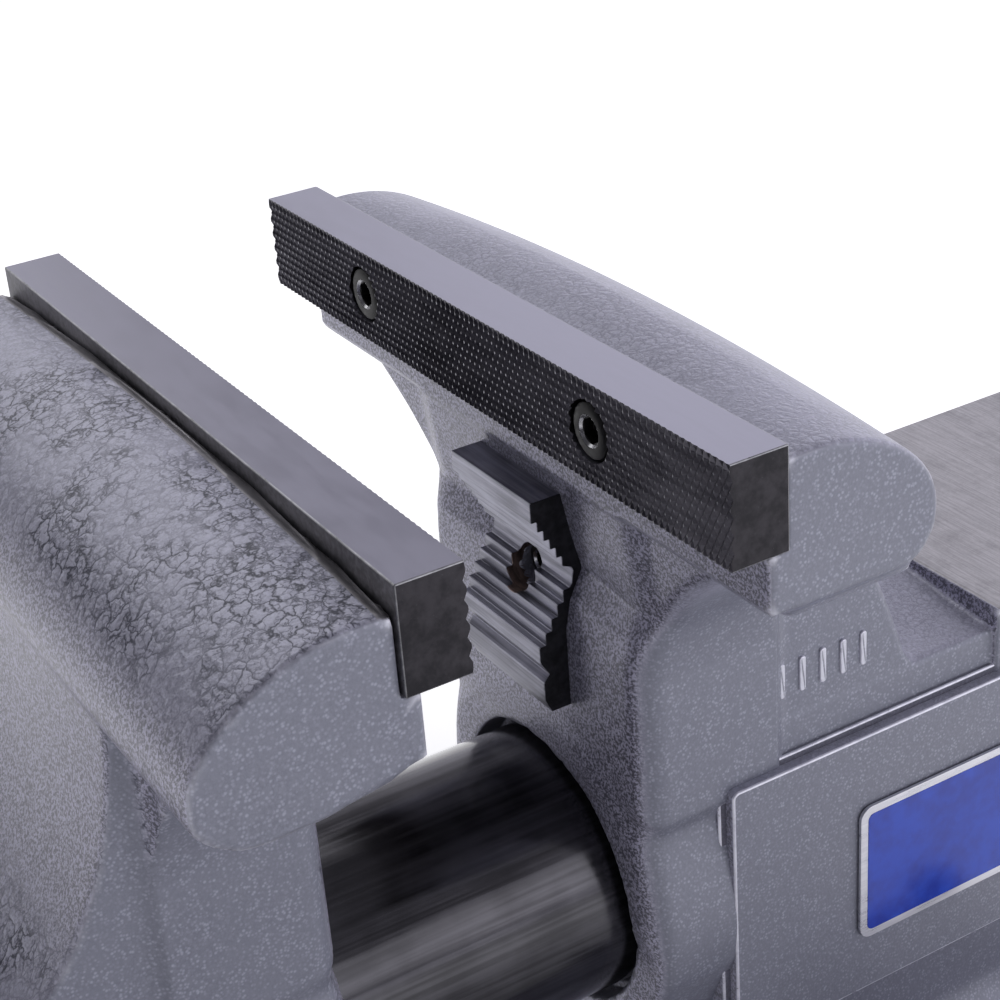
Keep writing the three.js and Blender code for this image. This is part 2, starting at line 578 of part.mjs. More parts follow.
for (const [side, sign] of [['left', -1], ['right', 1]]) {
  const at = [sign * LOCK.radius, 0];
  const { headHalf, shankRadius, nutRadius, barZ, barRadius } = LOCK;
  const head = block([at[0] - headHalf, at[0] + headHalf], [-headHalf, headHalf],
    [LOCK.headBottom, LOCK.headTop]);
  const shank = rod('z', shankRadius, LOCK.headTop - 0.5, LOCK.shankTop, at, 18);
  addPart(`lock_bolt_${side}`, union(head, shank), MATERIALS.screwSteel);

  const washerTop = FOOT.top + LOCK.washerTop;
  addPart(`lock_washer_${side}`, turned([
    [shankRadius + 0.5, FOOT.top + GAP], [LOCK.washerRadius, FOOT.top + GAP], [LOCK.washerRadius, washerTop],
    [shankRadius + 0.5, washerTop], [shankRadius + 0.5, FOOT.top + GAP],
  ], at, 22), MATERIALS.plainSteel);

  const nutBottom = washerTop + GAP;
  const nut = turned([
    [0, nutBottom], [nutRadius + 2, nutBottom], [nutRadius + 2, nutBottom + 3], [nutRadius, nutBottom + 5],
    [nutRadius, LOCK.nutTop - 3], [nutRadius - 3, LOCK.nutTop], [0, LOCK.nutTop],
  ], at, 20);
  addPart(`lock_nut_${side}`, cut(nut,
    rod('z', shankRadius + 0.4, nutBottom - 5, LOCK.shankTop + 1, at, 18),
    rod('y', barRadius + 0.5, -30, 30, [at[0], barZ], 14)), MATERIALS.plainSteel);

  // The tommy bar lies along Y, so it is made along X and turned.
  const { barHalfLength, knobRadius } = LOCK;
  const turn = (shape) => shape.rotate([0, 0, 90]).translate([at[0], 0, 0]);
  const bar = makeHandBar(barRadius, barHalfLength, [0, barZ]);
  addPart(`lock_bar_${side}`, turn(bar), MATERIALS.plainSteel);
  for (const [end, endSign] of [['rear', 1], ['front', -1]]) {
    const knob = makeKnob(endSign, knobRadius, barHalfLength, barRadius, [0, barZ]);
    addPart(`lock_bar_knob_${side}_${end}`, turn(knob), MATERIALS.plainSteel);
  }
}

export default vise;
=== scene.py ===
"""The looks of the bench vise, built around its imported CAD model. Sizes below are millimetres."""
import json
import math

import bmesh
import bpy
import numpy as np
from mathutils import Matrix, Vector


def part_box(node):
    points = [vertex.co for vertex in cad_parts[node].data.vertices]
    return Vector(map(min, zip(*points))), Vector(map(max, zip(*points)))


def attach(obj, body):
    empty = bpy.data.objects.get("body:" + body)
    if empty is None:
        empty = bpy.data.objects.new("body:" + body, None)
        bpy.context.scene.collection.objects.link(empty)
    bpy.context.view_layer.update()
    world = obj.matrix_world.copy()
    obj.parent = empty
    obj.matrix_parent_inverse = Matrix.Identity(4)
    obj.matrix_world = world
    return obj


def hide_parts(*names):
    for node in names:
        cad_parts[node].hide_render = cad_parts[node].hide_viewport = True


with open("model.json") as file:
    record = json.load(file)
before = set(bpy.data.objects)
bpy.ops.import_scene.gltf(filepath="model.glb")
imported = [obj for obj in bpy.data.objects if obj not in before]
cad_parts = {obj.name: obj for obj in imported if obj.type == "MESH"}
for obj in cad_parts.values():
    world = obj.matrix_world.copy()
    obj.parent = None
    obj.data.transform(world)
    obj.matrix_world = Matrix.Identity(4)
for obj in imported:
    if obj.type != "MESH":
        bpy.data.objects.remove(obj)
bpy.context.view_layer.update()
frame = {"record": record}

MM = 0.001


# ---------- sizes taken from the frame

def box_mm(node):
    low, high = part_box(node)
    return np.array(low) / MM, np.array(high) / MM


def middle_of(node, axis):
    low, high = box_mm(node)
    return float((low[axis] + high[axis]) / 2)


INSERT_LOW, INSERT_HIGH = box_mm("static_jaw_insert")
JAW_TOP = INSERT_HIGH[2]
STATIC_FACE = INSERT_LOW[1]
MOVING_FACE = box_mm("moving_jaw_insert")[1][1]
INSERT_HALF = INSERT_HIGH[0]
INSERT_THICK = INSERT_HIGH[1] - INSERT_LOW[1]
INSERT_TALL = INSERT_HIGH[2] - INSERT_LOW[2]
SCREW_X = middle_of("static_insert_screw_right", 0)
SCREW_Z = middle_of("static_insert_screw_right", 2)

BAR_LOW, BAR_HIGH = box_mm("slide_bar")
BAR_RADIUS = BAR_HIGH[0]
BAR_Z = BAR_HIGH[2] - BAR_RADIUS
BAR_FRONT, BAR_REAR = BAR_LOW[1], BAR_HIGH[1]
PIN_PLACES = [middle_of(f"slide_bar_pin_{k}", 1) for k in (1, 2)]

SIDES = (("left", -1), ("right", 1))
JAWS = (("static", STATIC_FACE, 1), ("moving", MOVING_FACE, -1))
BODY_OF = {node: body for body, nodes in frame["record"]["behaviour"]["bodies"].items() for node in nodes}

# Depths are measured back from an insert's face, and drops down from the jaws' tops.
GAP = 0.3
SEAT = INSERT_THICK + GAP
BORE = BAR_RADIUS + 0.35
MOUTH = 32.15
HEAD_HALF = 81.7
NECK_FACE, NECK_HALF, NECK_DROP = 11.2, 38.2, 130.8
SHELF_DROP, SHELF_RISE = 88.4, 4.4
SHOULDER_DEPTH, SHOULDER_DROP = 162, 140
ANVIL_HALF, PEDESTAL_HALF = 40, 30
BARREL, BARREL_DEPTH = 41.5, 176
NOSE_RADIUS = 35
KEEL_HALF = 14
PIPE_HALF, PIPE_HOLE_DROP = 14.8, 58.2
PIPE_HEAD_HOLE, PIPE_SHANK_HOLE = 4.4, 3.2
PIN_HOLE = 4.3
NUT_BOLT_Y, NUT_BOLT_HOLE = -24, 3.3
LOCK_X, LOCK_HOLE = 80, 6.5
LUG_RADIUS, LUG_REACH, LUG_HOLE = 17, 117, 6.75


# ---------- signed distances

def polygon(u, v, points):
    """Signed distance in the plane to a closed outline, negative inside."""
    u, v = np.asarray(u, np.float32), np.asarray(v, np.float32)
    nearest = np.full(np.broadcast(u, v).shape, np.inf, np.float32)
    inside = np.zeros(nearest.shape, bool)
    for (au, av), (bu, bv) in zip(points, points[-1:] + points[:-1]):
        eu, ev = bu - au, bv - av
        length = eu * eu + ev * ev
        if length < 1e-12:
            continue
        wu, wv = u - au, v - av
        t = np.clip((wu * eu + wv * ev) / length, 0, 1)
        nearest = np.minimum(nearest, (wu - eu * t) ** 2 + (wv - ev * t) ** 2)
        crosses = (v >= av) != (v >= bv)
        side = eu * wv > ev * wu
        inside ^= crosses & (side == (bv > av))
    distance = np.sqrt(nearest)
    return np.where(inside, -distance, distance)


def slab(w, low, high):
    return np.abs(w - (low + high) / 2) - (high - low) / 2


def both(a, b, r=0.0):
    """Where two shapes overlap, with the new edge rounded to radius r."""
    if r <= 0:
        return np.maximum(a, b)
    return np.minimum(np.maximum(a, b), -r) + np.hypot(np.maximum(a + r, 0), np.maximum(b + r, 0))


def join(a, b, r=0.0):
    """Two shapes as one, with a fillet of radius r between them."""
    if r <= 0:
        return np.minimum(a, b)
    return np.maximum(np.minimum(a, b), r) - np.hypot(np.maximum(r - a, 0), np.maximum(r - b, 0))


def cut(a, b, r=0.0):
    return both(a, -b, r)


def ellipse_arc(centre, radii, start, end, steps, power=2.0):
    points = []
    for i in range(steps + 1):
        angle = math.radians(start + (end - start) * i / steps)
        c, s = math.cos(angle), math.sin(angle)
        points.append((centre[0] + radii[0] * math.copysign(abs(c) ** (2 / power), c),
                       centre[1] + radii[1] * math.copysign(abs(s) ** (2 / power), s)))
    return points


def bezier(start, control, end, steps):
    points = []
    for i in range(steps + 1):
        t = i / steps
        points.append(tuple((1 - t) ** 2 * a + 2 * t * (1 - t) * b + t * t * c
                            for a, b, c in zip(start, control, end)))
    return points


# ---------- meshes from signed distances

CUBE = np.array([[i, j, k] for i in (0, 1) for j in (0, 1) for k in (0, 1)])
CUBE_EDGES = [(a, b) for a in range(8) for b in range(a + 1, 8) if np.abs(CUBE[a] - CUBE[b]).sum() == 1]


def surface(shape, low, high, step):
    """Quads over the zero level of a signed distance, by surface nets."""
    axes = [np.arange(lo, hi + step, step, dtype=np.float32) for lo, hi in zip(low, high)]
    values = np.ascontiguousarray(np.broadcast_to(
        shape(axes[0][:, None, None], axes[1][None, :, None], axes[2][None, None, :]),
        [len(a) for a in axes]), np.float32)
    solid = values < 0
    cells = tuple(n - 1 for n in solid.shape)
    count = np.zeros(cells, np.int8)
    for corner in CUBE:
        count += solid[tuple(slice(c, c + n) for c, n in zip(corner, cells))]
    where = np.argwhere((count > 0) & (count < 8))
    corner_values = np.stack([values[tuple((where + corner).T)] for corner in CUBE], 1)
    total, hits = np.zeros((len(where), 3)), np.zeros((len(where), 1))
    for a, b in CUBE_EDGES:
        va, vb = corner_values[:, a], corner_values[:, b]
        crossing = ((va < 0) != (vb < 0))[:, None]
        t = np.divide(va, va - vb, out=np.zeros_like(va), where=va != vb)[:, None]
        total += crossing * (CUBE[a] + t * (CUBE[b] - CUBE[a]))
        hits += crossing
    points = np.array(low) + step * (where + total / hits)
    index = np.full(cells, -1, np.int32)
    index[tuple(where.T)] = np.arange(len(where))
    quads = []
    for axis in range(3):
        u, v = (axis + 1) % 3, (axis + 2) % 3
        first = tuple(slice(0, -1) if k == axis else slice(1, -1) for k in range(3))
        second = tuple(slice(1, None) if k == axis else slice(1, -1) for k in range(3))
        here, there = solid[first], solid[second]
        edge = np.argwhere(here != there)
        offset = np.array([0 if k == axis else 1 for k in range(3)])
        base = edge + offset
        step_u, step_v = np.eye(3, dtype=int)[u], np.eye(3, dtype=int)[v]
        around = ((1, 1), (0, 1), (0, 0), (1, 0))
        ring = np.stack([index[tuple((base - du * step_u - dv * step_v).T)] for du, dv in around], 1)
        flip = ~here[tuple(edge.T)]
        ring[flip] = ring[flip][:, ::-1]
        quads.append(ring)
    return points, np.concatenate(quads)


def gradient(shape, points, width=0.25):
    result = np.empty_like(points)
    for k in range(3):
        ahead, behind = points.copy(), points.copy()
        ahead[:, k] += width
        behind[:, k] -= width
        result[:, k] = shape(*ahead.T) - shape(*behind.T)
    return result / np.maximum(np.linalg.norm(result, axis=1, keepdims=True), 1e-9)


def add_object(name, data):
    obj = bpy.data.objects.new(name, data)
    bpy.context.scene.collection.objects.link(obj)
    return obj


def mesh_object(name, points, faces):
    """A mesh object from millimetre points."""
    mesh = bpy.data.meshes.new(name)
    mesh.from_pydata((np.asarray(points, float) * MM).tolist(), [], [list(map(int, f)) for f in faces])
    mesh.validate()
    return add_object(name, mesh)


def casting(name, shape, low, high, step, keep):
    """A smooth casting: a surface net between corners that enclose the shape, thinned out to a part of its
    faces, with its points and normals set from the shape itself."""
    points, quads = surface(shape, np.array(low, float) - 2 * step, np.array(high, float) + 2 * step, step)
    for _ in range(2):
        points -= shape(*points.T)[:, None] * gradient(shape, points)
    obj = mesh_object(name, points, quads)
    if keep < 1:
        decimate = obj.modifiers.new("thin", "DECIMATE")
        decimate.ratio = keep
        apply_modifiers(obj)
    co = np.empty(len(obj.data.vertices) * 3)
    obj.data.vertices.foreach_get("co", co)
    points = co.reshape(-1, 3) / MM
    obj.data.polygons.foreach_set("use_smooth", [True] * len(obj.data.polygons))
    obj.data.normals_split_custom_set_from_vertices(gradient(shape, points, 0.5).tolist())
    return obj


def apply_modifiers(obj):
    graph = bpy.context.evaluated_depsgraph_get()
    mesh = bpy.data.meshes.new_from_object(obj.evaluated_get(graph))
    obj.modifiers.clear()
    obj.data = mesh
    return obj


# ---------- the castings' shapes

STATIC_HEAD = [
    (8.4, 3.1), *ellipse_arc((16.5, 22.5), (28.1, -19.6), 90, 0, 28, 1.95),
    *ellipse_arc((35.6, 22.7), (9, 9), 0, 90, 10), (8.4, 31.7)]
MOVING_HEAD = [
    (8.4, 3.8), (SEAT + 1.3, 3.8), (SEAT + 1.6, 3.4),
    *ellipse_arc((18.4, 25.5), (29.4, -22.1), 90, 0, 28, 1.85)[1:],
    *ellipse_arc((34.8, 26.6), (13, 9.2), 0, 90, 12), (26.5, 35.3), (8.4, 31.7)]
FLARE = [
    (-5, 100), (NECK_HALF, 100), *bezier((NECK_HALF, 67), (42.5, 48), (62, 35.6), 16),
    (80, 34.2), (80, 28), (-5, 28)]
NECK_FRONT = [
    (NECK_FACE, NECK_DROP), (NECK_FACE, 66), (12.5, 59.5), (15.7, 53.3), (13.7, 45.4), (11.7, 35.4),
    (11.7, 28)]
STATIC_NECK = [
    *bezier((41, 27), (64, 45), (76.5, 85), 20), (79, SHELF_DROP), (110, SHELF_DROP), (110, NECK_DROP)]
MOVING_NECK = [(44, 30), *bezier((44.5, 33), (46, 72), (74, 92), 20), (74, NECK_DROP)]
ANVIL = [(100, 83), (188, 83), (188, 100), (168, 118), (100, 132)]
PEDESTAL = [
    (13.5, NECK_DROP), (158, NECK_DROP), (146, 162), (139, 184), (137, 212), (13, 212), (15, 192),
    (13.5, 170)]
FOOT = [(-1, 30.7), (97, 30.7), (97, 41), (94, 44), (62, 44), (46, 51), (-1, 51)]
CAVITY = [(-1, 20), (40.3, 20), (40.3, 42), (32, 46), (-1, 46)]


def neck_front(x, depth, drop):
    """Behind the neck's front, with its groove for pipes, which is shallower beyond the pipe jaw."""
    fade = np.clip((np.abs(x) - 16) / 26, 0, 1) * 0.4
    line = np.interp(drop, [p[1] for p in NECK_FRONT[::-1]], [p[0] for p in NECK_FRONT[::-1]])
    line = NECK_FACE + (line - NECK_FACE) * (1 - fade)
    return (line - depth) * 0.9


def insert_holes(x, depth, z):
    """The screw holes behind an insert."""
    around = np.hypot(np.abs(x) - SCREW_X, z - SCREW_Z) - 4.0
    return both(around, slab(depth, SEAT - 3, 16.4))


def pipe_screw_hole(x, depth, drop):
    around = np.hypot(x, drop - PIPE_HOLE_DROP)
    shank = both(around - PIPE_SHANK_HOLE, slab(depth, 8, 34.4))
    return join(shank, both(around - PIPE_HEAD_HOLE, slab(depth, 8, 15.1)))


def jaw_block(x, depth, drop, head, neck, lift, round_end, swell=0.0):
    """A jaw's head on its flared neck; lift raises the head's top and swell rounds its back outwards."""
    a = np.abs(x)
    front = neck_front(x, depth, drop)
    head = both(polygon(depth, drop + lift, head) - swell, a - HEAD_HALF, round_end)
    flare = both(both(polygon(a, drop, FLARE), depth - 40), front, 3.5)
    neck = both(both(polygon(depth, drop, [(0, 28), *neck, (0, NECK_DROP)]), a - NECK_HALF, 1.6), front, 4)
    return join(head, join(flare, neck, 6), 2.5)


def seat(depth, drop, r):
    return both(depth - SEAT, drop - INSERT_TALL - GAP, r)


def at_top(h):
    """One in a jaw's upper part, fading to nothing below its head."""
    return np.clip((25 - h) / 14, 0, 1)


def static_casting(x, y, z):
    a, d, h = np.abs(x), y - STATIC_FACE, JAW_TOP - z
    around_bar = np.hypot(x, z - BAR_Z)
    round_axis = np.hypot(x, y)
    roof = SHELF_DROP - SHELF_RISE * (1 - np.minimum(a, NECK_HALF) / NECK_HALF)
    middle = (1 - (x / HEAD_HALF) ** 2) * at_top(h)
    swell = 2.4 * middle * np.clip((d - 14) / 14, 0, 1)
    body = jaw_block(x, d, h, STATIC_HEAD, STATIC_NECK, 1.2 * middle, 1.1, swell)
    shoulder = both(slab(d, NECK_FACE + 4, SHOULDER_DEPTH), both(roof - h, h - SHOULDER_DROP), 1.2)
    shoulder = both(shoulder, a - NECK_HALF, 1.2)
    anvil = both(polygon(d, h, ANVIL), a - ANVIL_HALF, 0.8)
    barrel = both(around_bar - BARREL, slab(d, NECK_FACE, BARREL_DEPTH), 3)
    pedestal = both(polygon(d, h, PEDESTAL), a - PEDESTAL_HALF, 6)
    foot = polygon(round_axis, z, FOOT)
    body = join(join(body, shoulder, 0.8), anvil, 1.5)
    body = join(body, barrel, 6)
    body = join(join(body, pedestal, 9), foot, 12)
    body = both(body, -polygon(round_axis, z, CAVITY))
    pocket = both(a - 19, both(slab(y, -46, 46), slab(z, 40, 76)))
    nut_slot = both(a - 6, both(slab(y, -36.3, -11.7), slab(z, 84, 100)))
    nut_bolt_hole = both(np.hypot(x, y - NUT_BOLT_Y) - NUT_BOLT_HOLE, slab(z, 70, 90))
    bore_mouth = both(around_bar - MOUTH, slab(d, 0, NECK_FACE + 5))
    lock_holes = np.hypot(a - LOCK_X, y) - LOCK_HOLE
    for space, r in ((pocket, 1.5), (around_bar - BORE, 0.6), (bore_mouth, 0.8), (nut_slot, 0.4),
                     (lock_holes, 0.8), (nut_bolt_hole, 0), (seat(d, h, 0.2), 0.3),
                     (insert_holes(x, d, z), 0), (pipe_screw_hole(x, d, h), 0)):
        body = cut(body, space, r)
    return body


def moving_casting(x, y, z):
    d, h = MOVING_FACE - y, JAW_TOP - z
    around_bar = np.hypot(x, z - BAR_Z)
    crown = (1.3 - 2.9 * (x / HEAD_HALF) ** 2) * at_top(h)
    body = jaw_block(x, d, h, MOVING_HEAD, MOVING_NECK, crown, 1.1)
    front, boss = MOVING_FACE + 227, MOVING_FACE + 235
    barrel = both(around_bar - BARREL, slab(d, NECK_FACE, front), 5)
    nose = both(around_bar - NOSE_RADIUS, slab(d, 60, boss), 2.5)
    keel = both(np.abs(x) - KEEL_HALF, slab(d, 15.5, front - 8), 4)
    keel = both(keel, slab(z, BAR_Z - 46, BAR_Z - 25), 3)
    body = join(join(join(body, barrel, 10), nose, 4), keel, 3)
    body = cut(body, both(around_bar - BAR_RADIUS - GAP, slab(y, BAR_FRONT - GAP, 0)), 0.6)
    body = cut(body, both(around_bar - 11.6, slab(y, -260, BAR_FRONT + 1)), 0.6)
    for pin_y in PIN_PLACES:
        body = cut(body, both(np.hypot(x, y - pin_y) - PIN_HOLE, slab(z, 60, BAR_Z - 24)), 0.3)
    return cut(cut(body, seat(d, h, 0.2), 0.3), pipe_screw_hole(x, d, h))


BASE = [
    (-1, 0), (24, 0), (25, 20), (32, 22), (54, 22), (60, 18), (61, 0), (104, 0), (104, 25), (100, 30),
    (86.8, 30), (86.8, 20.5), (96, 20.5), (96, 9), (64, 9), (64, 20.5), (73.2, 20.5), (73.2, 30),
    (45, 30), (39.1, 26.5), (39.1, 37.8), (37.2, 39.7), (-1, 39.7)]


def base_casting(x, y, z):
    disc = polygon(np.hypot(x, y), z, BASE)
    a, b = (np.abs(x) + np.abs(y)) / math.sqrt(2), (np.abs(x) - np.abs(y)) / math.sqrt(2)
    pad = join(both(np.abs(b) - LUG_RADIUS, slab(a, 98, LUG_REACH)), np.hypot(a - LUG_REACH, b) - LUG_RADIUS)
    lug = both(pad, slab(z, 0, 14), 2.2)
    body = join(disc, both(lug, 97 - np.hypot(x, y)), 4)
    return cut(both(body, -z), np.hypot(a - LUG_REACH, b) - LUG_HOLE, 0.8)


# ---------- mesh helpers for machined pieces

def finish_piece(obj, bevel=0.0, segments=2, angle=32):
    """Rounds a piece's sharp edges and shades it smooth between the edges that stay sharp."""
    mesh = obj.data
    mesh.polygons.foreach_set("use_smooth", [True] * len(mesh.polygons))
    mesh.set_sharp_from_angle(angle=math.radians(angle))
    if bevel > 0:
        modifier = obj.modifiers.new("edges", "BEVEL")
        modifier.width = bevel * MM
        modifier.segments = segments
        modifier.limit_method = "ANGLE"
        modifier.angle_limit = math.radians(angle)
        modifier.use_clamp_overlap = False
        modifier.harden_normals = True
        modifier.miter_outer = "MITER_ARC"
        apply_modifiers(obj)
    return obj


def closed_mesh(name, points, faces):
    obj = mesh_object(name, points, faces)
    bm = bmesh.new()
    bm.from_mesh(obj.data)
    bmesh.ops.remove_doubles(bm, verts=bm.verts, dist=1e-6)
    bmesh.ops.recalc_face_normals(bm, faces=bm.faces)
    bm.to_mesh(obj.data)
    bm.free()
    return obj


def turned(name, profile, axis="y", at=(0, None), steps=72, closed=False, phase=0.0):
    """(radius, along) points turned round an axis; at is the axis's place on the other two."""
    at = (at[0], BAR_Z if at[1] is None else at[1])
    points, rings = [], []
    for radius, along in profile:
        count = 1 if radius < 1e-6 else steps
        rings.append(range(len(points), len(points) + count))
        for i in range(count):
            turn = 2 * math.pi * (i + phase) / steps
            u, v = at[0] + radius * math.cos(turn), at[1] + radius * math.sin(turn)
            points.append({"x": (along, u, v), "y": (u, along, v), "z": (u, v, along)}[axis])
    faces = []
    pairs = list(zip(rings, rings[1:])) + ([(rings[-1], rings[0])] if closed else [])
    for a, b in pairs:
        for i in range(steps):
            j = (i + 1) % steps
            face = [a[i % len(a)], a[j % len(a)], b[j % len(b)], b[i % len(b)]]
            faces.append(list(dict.fromkeys(face)))
    return closed_mesh(name, points, [f for f in faces if len(f) > 2])


def rod(name, radius, low, high, axis="y", at=(0, None), steps=48, phase=0.0):
    return turned(name, [(0, low), (radius, low), (radius, high), (0, high)], axis, at, steps, phase=phase)


def prism(name, outline, low, high, axis="x"):
    """A closed outline pushed along an axis; its points are on the other two axes in order."""
    place = {"x": lambda u, v, w: (w, u, v), "y": lambda u, v, w: (u, w, v),
             "z": lambda u, v, w: (u, v, w)}[axis]
    count = len(outline)
    points = [place(u, v, w) for w in (low, high) for u, v in outline]
    sides = [[i, (i + 1) % count, count + (i + 1) % count, count + i] for i in range(count)]
    return closed_mesh(name, points, sides + [list(range(count)), list(range(count, 2 * count))])


def block(name, x, y, z):
    return prism(name, [(x[0], y[0]), (x[1], y[0]), (x[1], y[1]), (x[0], y[1])], z[0], z[1], "z")


def carve(obj, *tools, operation="DIFFERENCE"):
    """Cuts closed tool meshes out of a piece, and deletes the tools."""
    for tool in tools:
        modifier = obj.modifiers.new("carve", "BOOLEAN")
        modifier.operation = operation
        modifier.solver = "EXACT"
        modifier.object = tool
    apply_modifiers(obj)
    for tool in tools:
        bpy.data.objects.remove(tool)
    return obj


def merge(name, *objects):
    """Several meshes as one object."""
    bm = bmesh.new()
    materials = []
    for obj in objects:
        start = len(bm.faces)
        bm.from_mesh(obj.data)
        bm.faces.ensure_lookup_table()
        slots = list(obj.data.materials)
        for face in bm.faces[start:]:
            if slots:
                material = slots[face.material_index]
                if material not in materials:
                    materials.append(material)
                face.material_index = materials.index(material)
    mesh = bpy.data.meshes.new(name)
    bm.to_mesh(mesh)
    bm.free()
    for material in materials:
        mesh.materials.append(material)
    for obj in objects:
        bpy.data.objects.remove(obj)
    return add_object(name, mesh)


def stand_for(obj, node, *materials):
    """The piece takes a CAD node's place and body, with the given materials."""
    for material in materials:
        obj.data.materials.append(material)
    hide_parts(node)
    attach(obj, BODY_OF[node])
    return obj


# ---------- materials

def node(tree, kind, inputs=None, **settings):
    """Adds a shader node; an input's value is either a number or another node's socket."""
    made = tree.nodes.new("ShaderNode" + kind)
    for key, value in settings.items():
        setattr(made, key, value)
    for key, value in (inputs or {}).items():
        if isinstance(value, bpy.types.NodeSocket):
            tree.links.new(value, made.inputs[key])
        else:
            made.inputs[key].default_value = value
    return made


def maths(tree, operation, a, b=0.0):
    return node(tree, "Math", {0: a, 1: b}, operation=operation).outputs[0]


def times(tree, a, b):
    return maths(tree, "MULTIPLY", a, b)


def mix(tree, factor, a, b):
    made = node(tree, "Mix", {0: factor}, data_type="RGBA")
    for key, value in ((6, a), (7, b)):
        if isinstance(value, bpy.types.NodeSocket):
            tree.links.new(value, made.inputs[key])
        else:
            made.inputs[key].default_value = (*value, 1)
    return made.outputs[2]


def ramp(tree, value, low, high, to_low=0.0, to_high=1.0, smooth=True):
    made = node(tree, "MapRange", {0: value, 1: low, 2: high, 3: to_low, 4: to_high})
    made.interpolation_type = "SMOOTHSTEP" if smooth else "LINEAR"
    return made.outputs[0]


def start_material(name, **values):
    material = bpy.data.materials.new(name)
    material.use_nodes = True
    tree = material.node_tree
    shader = tree.nodes["Principled BSDF"]
    for key, value in values.items():
        shader.inputs[key.replace("_", " ")].default_value = value
    coord = tree.nodes.new("ShaderNodeTexCoord")
    return material, tree, shader, coord


def feed(tree, shader, **sockets):
    for key, value in sockets.items():
        tree.links.new(value, shader.inputs[key.replace("_", " ")])


def scaled(tree, vector, scale):
    return node(tree, "Mapping", {"Vector": vector, "Scale": scale}).outputs[0]


def noise(tree, vector, scale, detail=2.0, roughness=0.5):
    values = {"Vector": vector, "Scale": scale, "Detail": detail, "Roughness": roughness}
    return node(tree, "TexNoise", values)


def bump(tree, height, strength, distance_mm):
    values = {"Height": height, "Strength": strength, "Distance": distance_mm * MM}
    return node(tree, "Bump", values).outputs[0]


def cracks(tree, place, cell, width):
    """Thin branching lines between wandering cells of one size."""
    wander = noise(tree, place, 900 / cell, 3, 0.6)
    shift = node(tree, "VectorMath", {0: wander.outputs["Color"], 1: (0.5, 0.5, 0.5)}, operation="SUBTRACT")
    shift = node(tree, "VectorMath", {0: shift.outputs[0], "Scale": 0.0016 * cell}, operation="SCALE")
    moved = node(tree, "VectorMath", {0: place, 1: shift.outputs[0]}, operation="ADD").outputs[0]
    edge = node(tree, "TexVoronoi", {"Vector": moved, "Scale": 1000 / cell}, feature="DISTANCE_TO_EDGE")
    return ramp(tree, edge.outputs[0], 0.0, width, 1.0, 0.0), edge.outputs[0]


def machined_areas(tree, where, upward, not_end, areas):
    """One inside any of the boxes [low, high, facing], where the surface faces that way."""
    mask = None
    for low, high, facing in areas:
        inside = ramp(tree, upward, 0.8, 0.9) if facing == "up" else not_end
        for axis in range(3):
            for limit, side in ((low[axis], "GREATER_THAN"), (high[axis], "LESS_THAN")):
                if limit is not None:
                    inside = times(tree, inside, maths(tree, side, where.outputs[axis], limit * MM))
        mask = inside if mask is None else maths(tree, "MAXIMUM", mask, inside)
    return mask


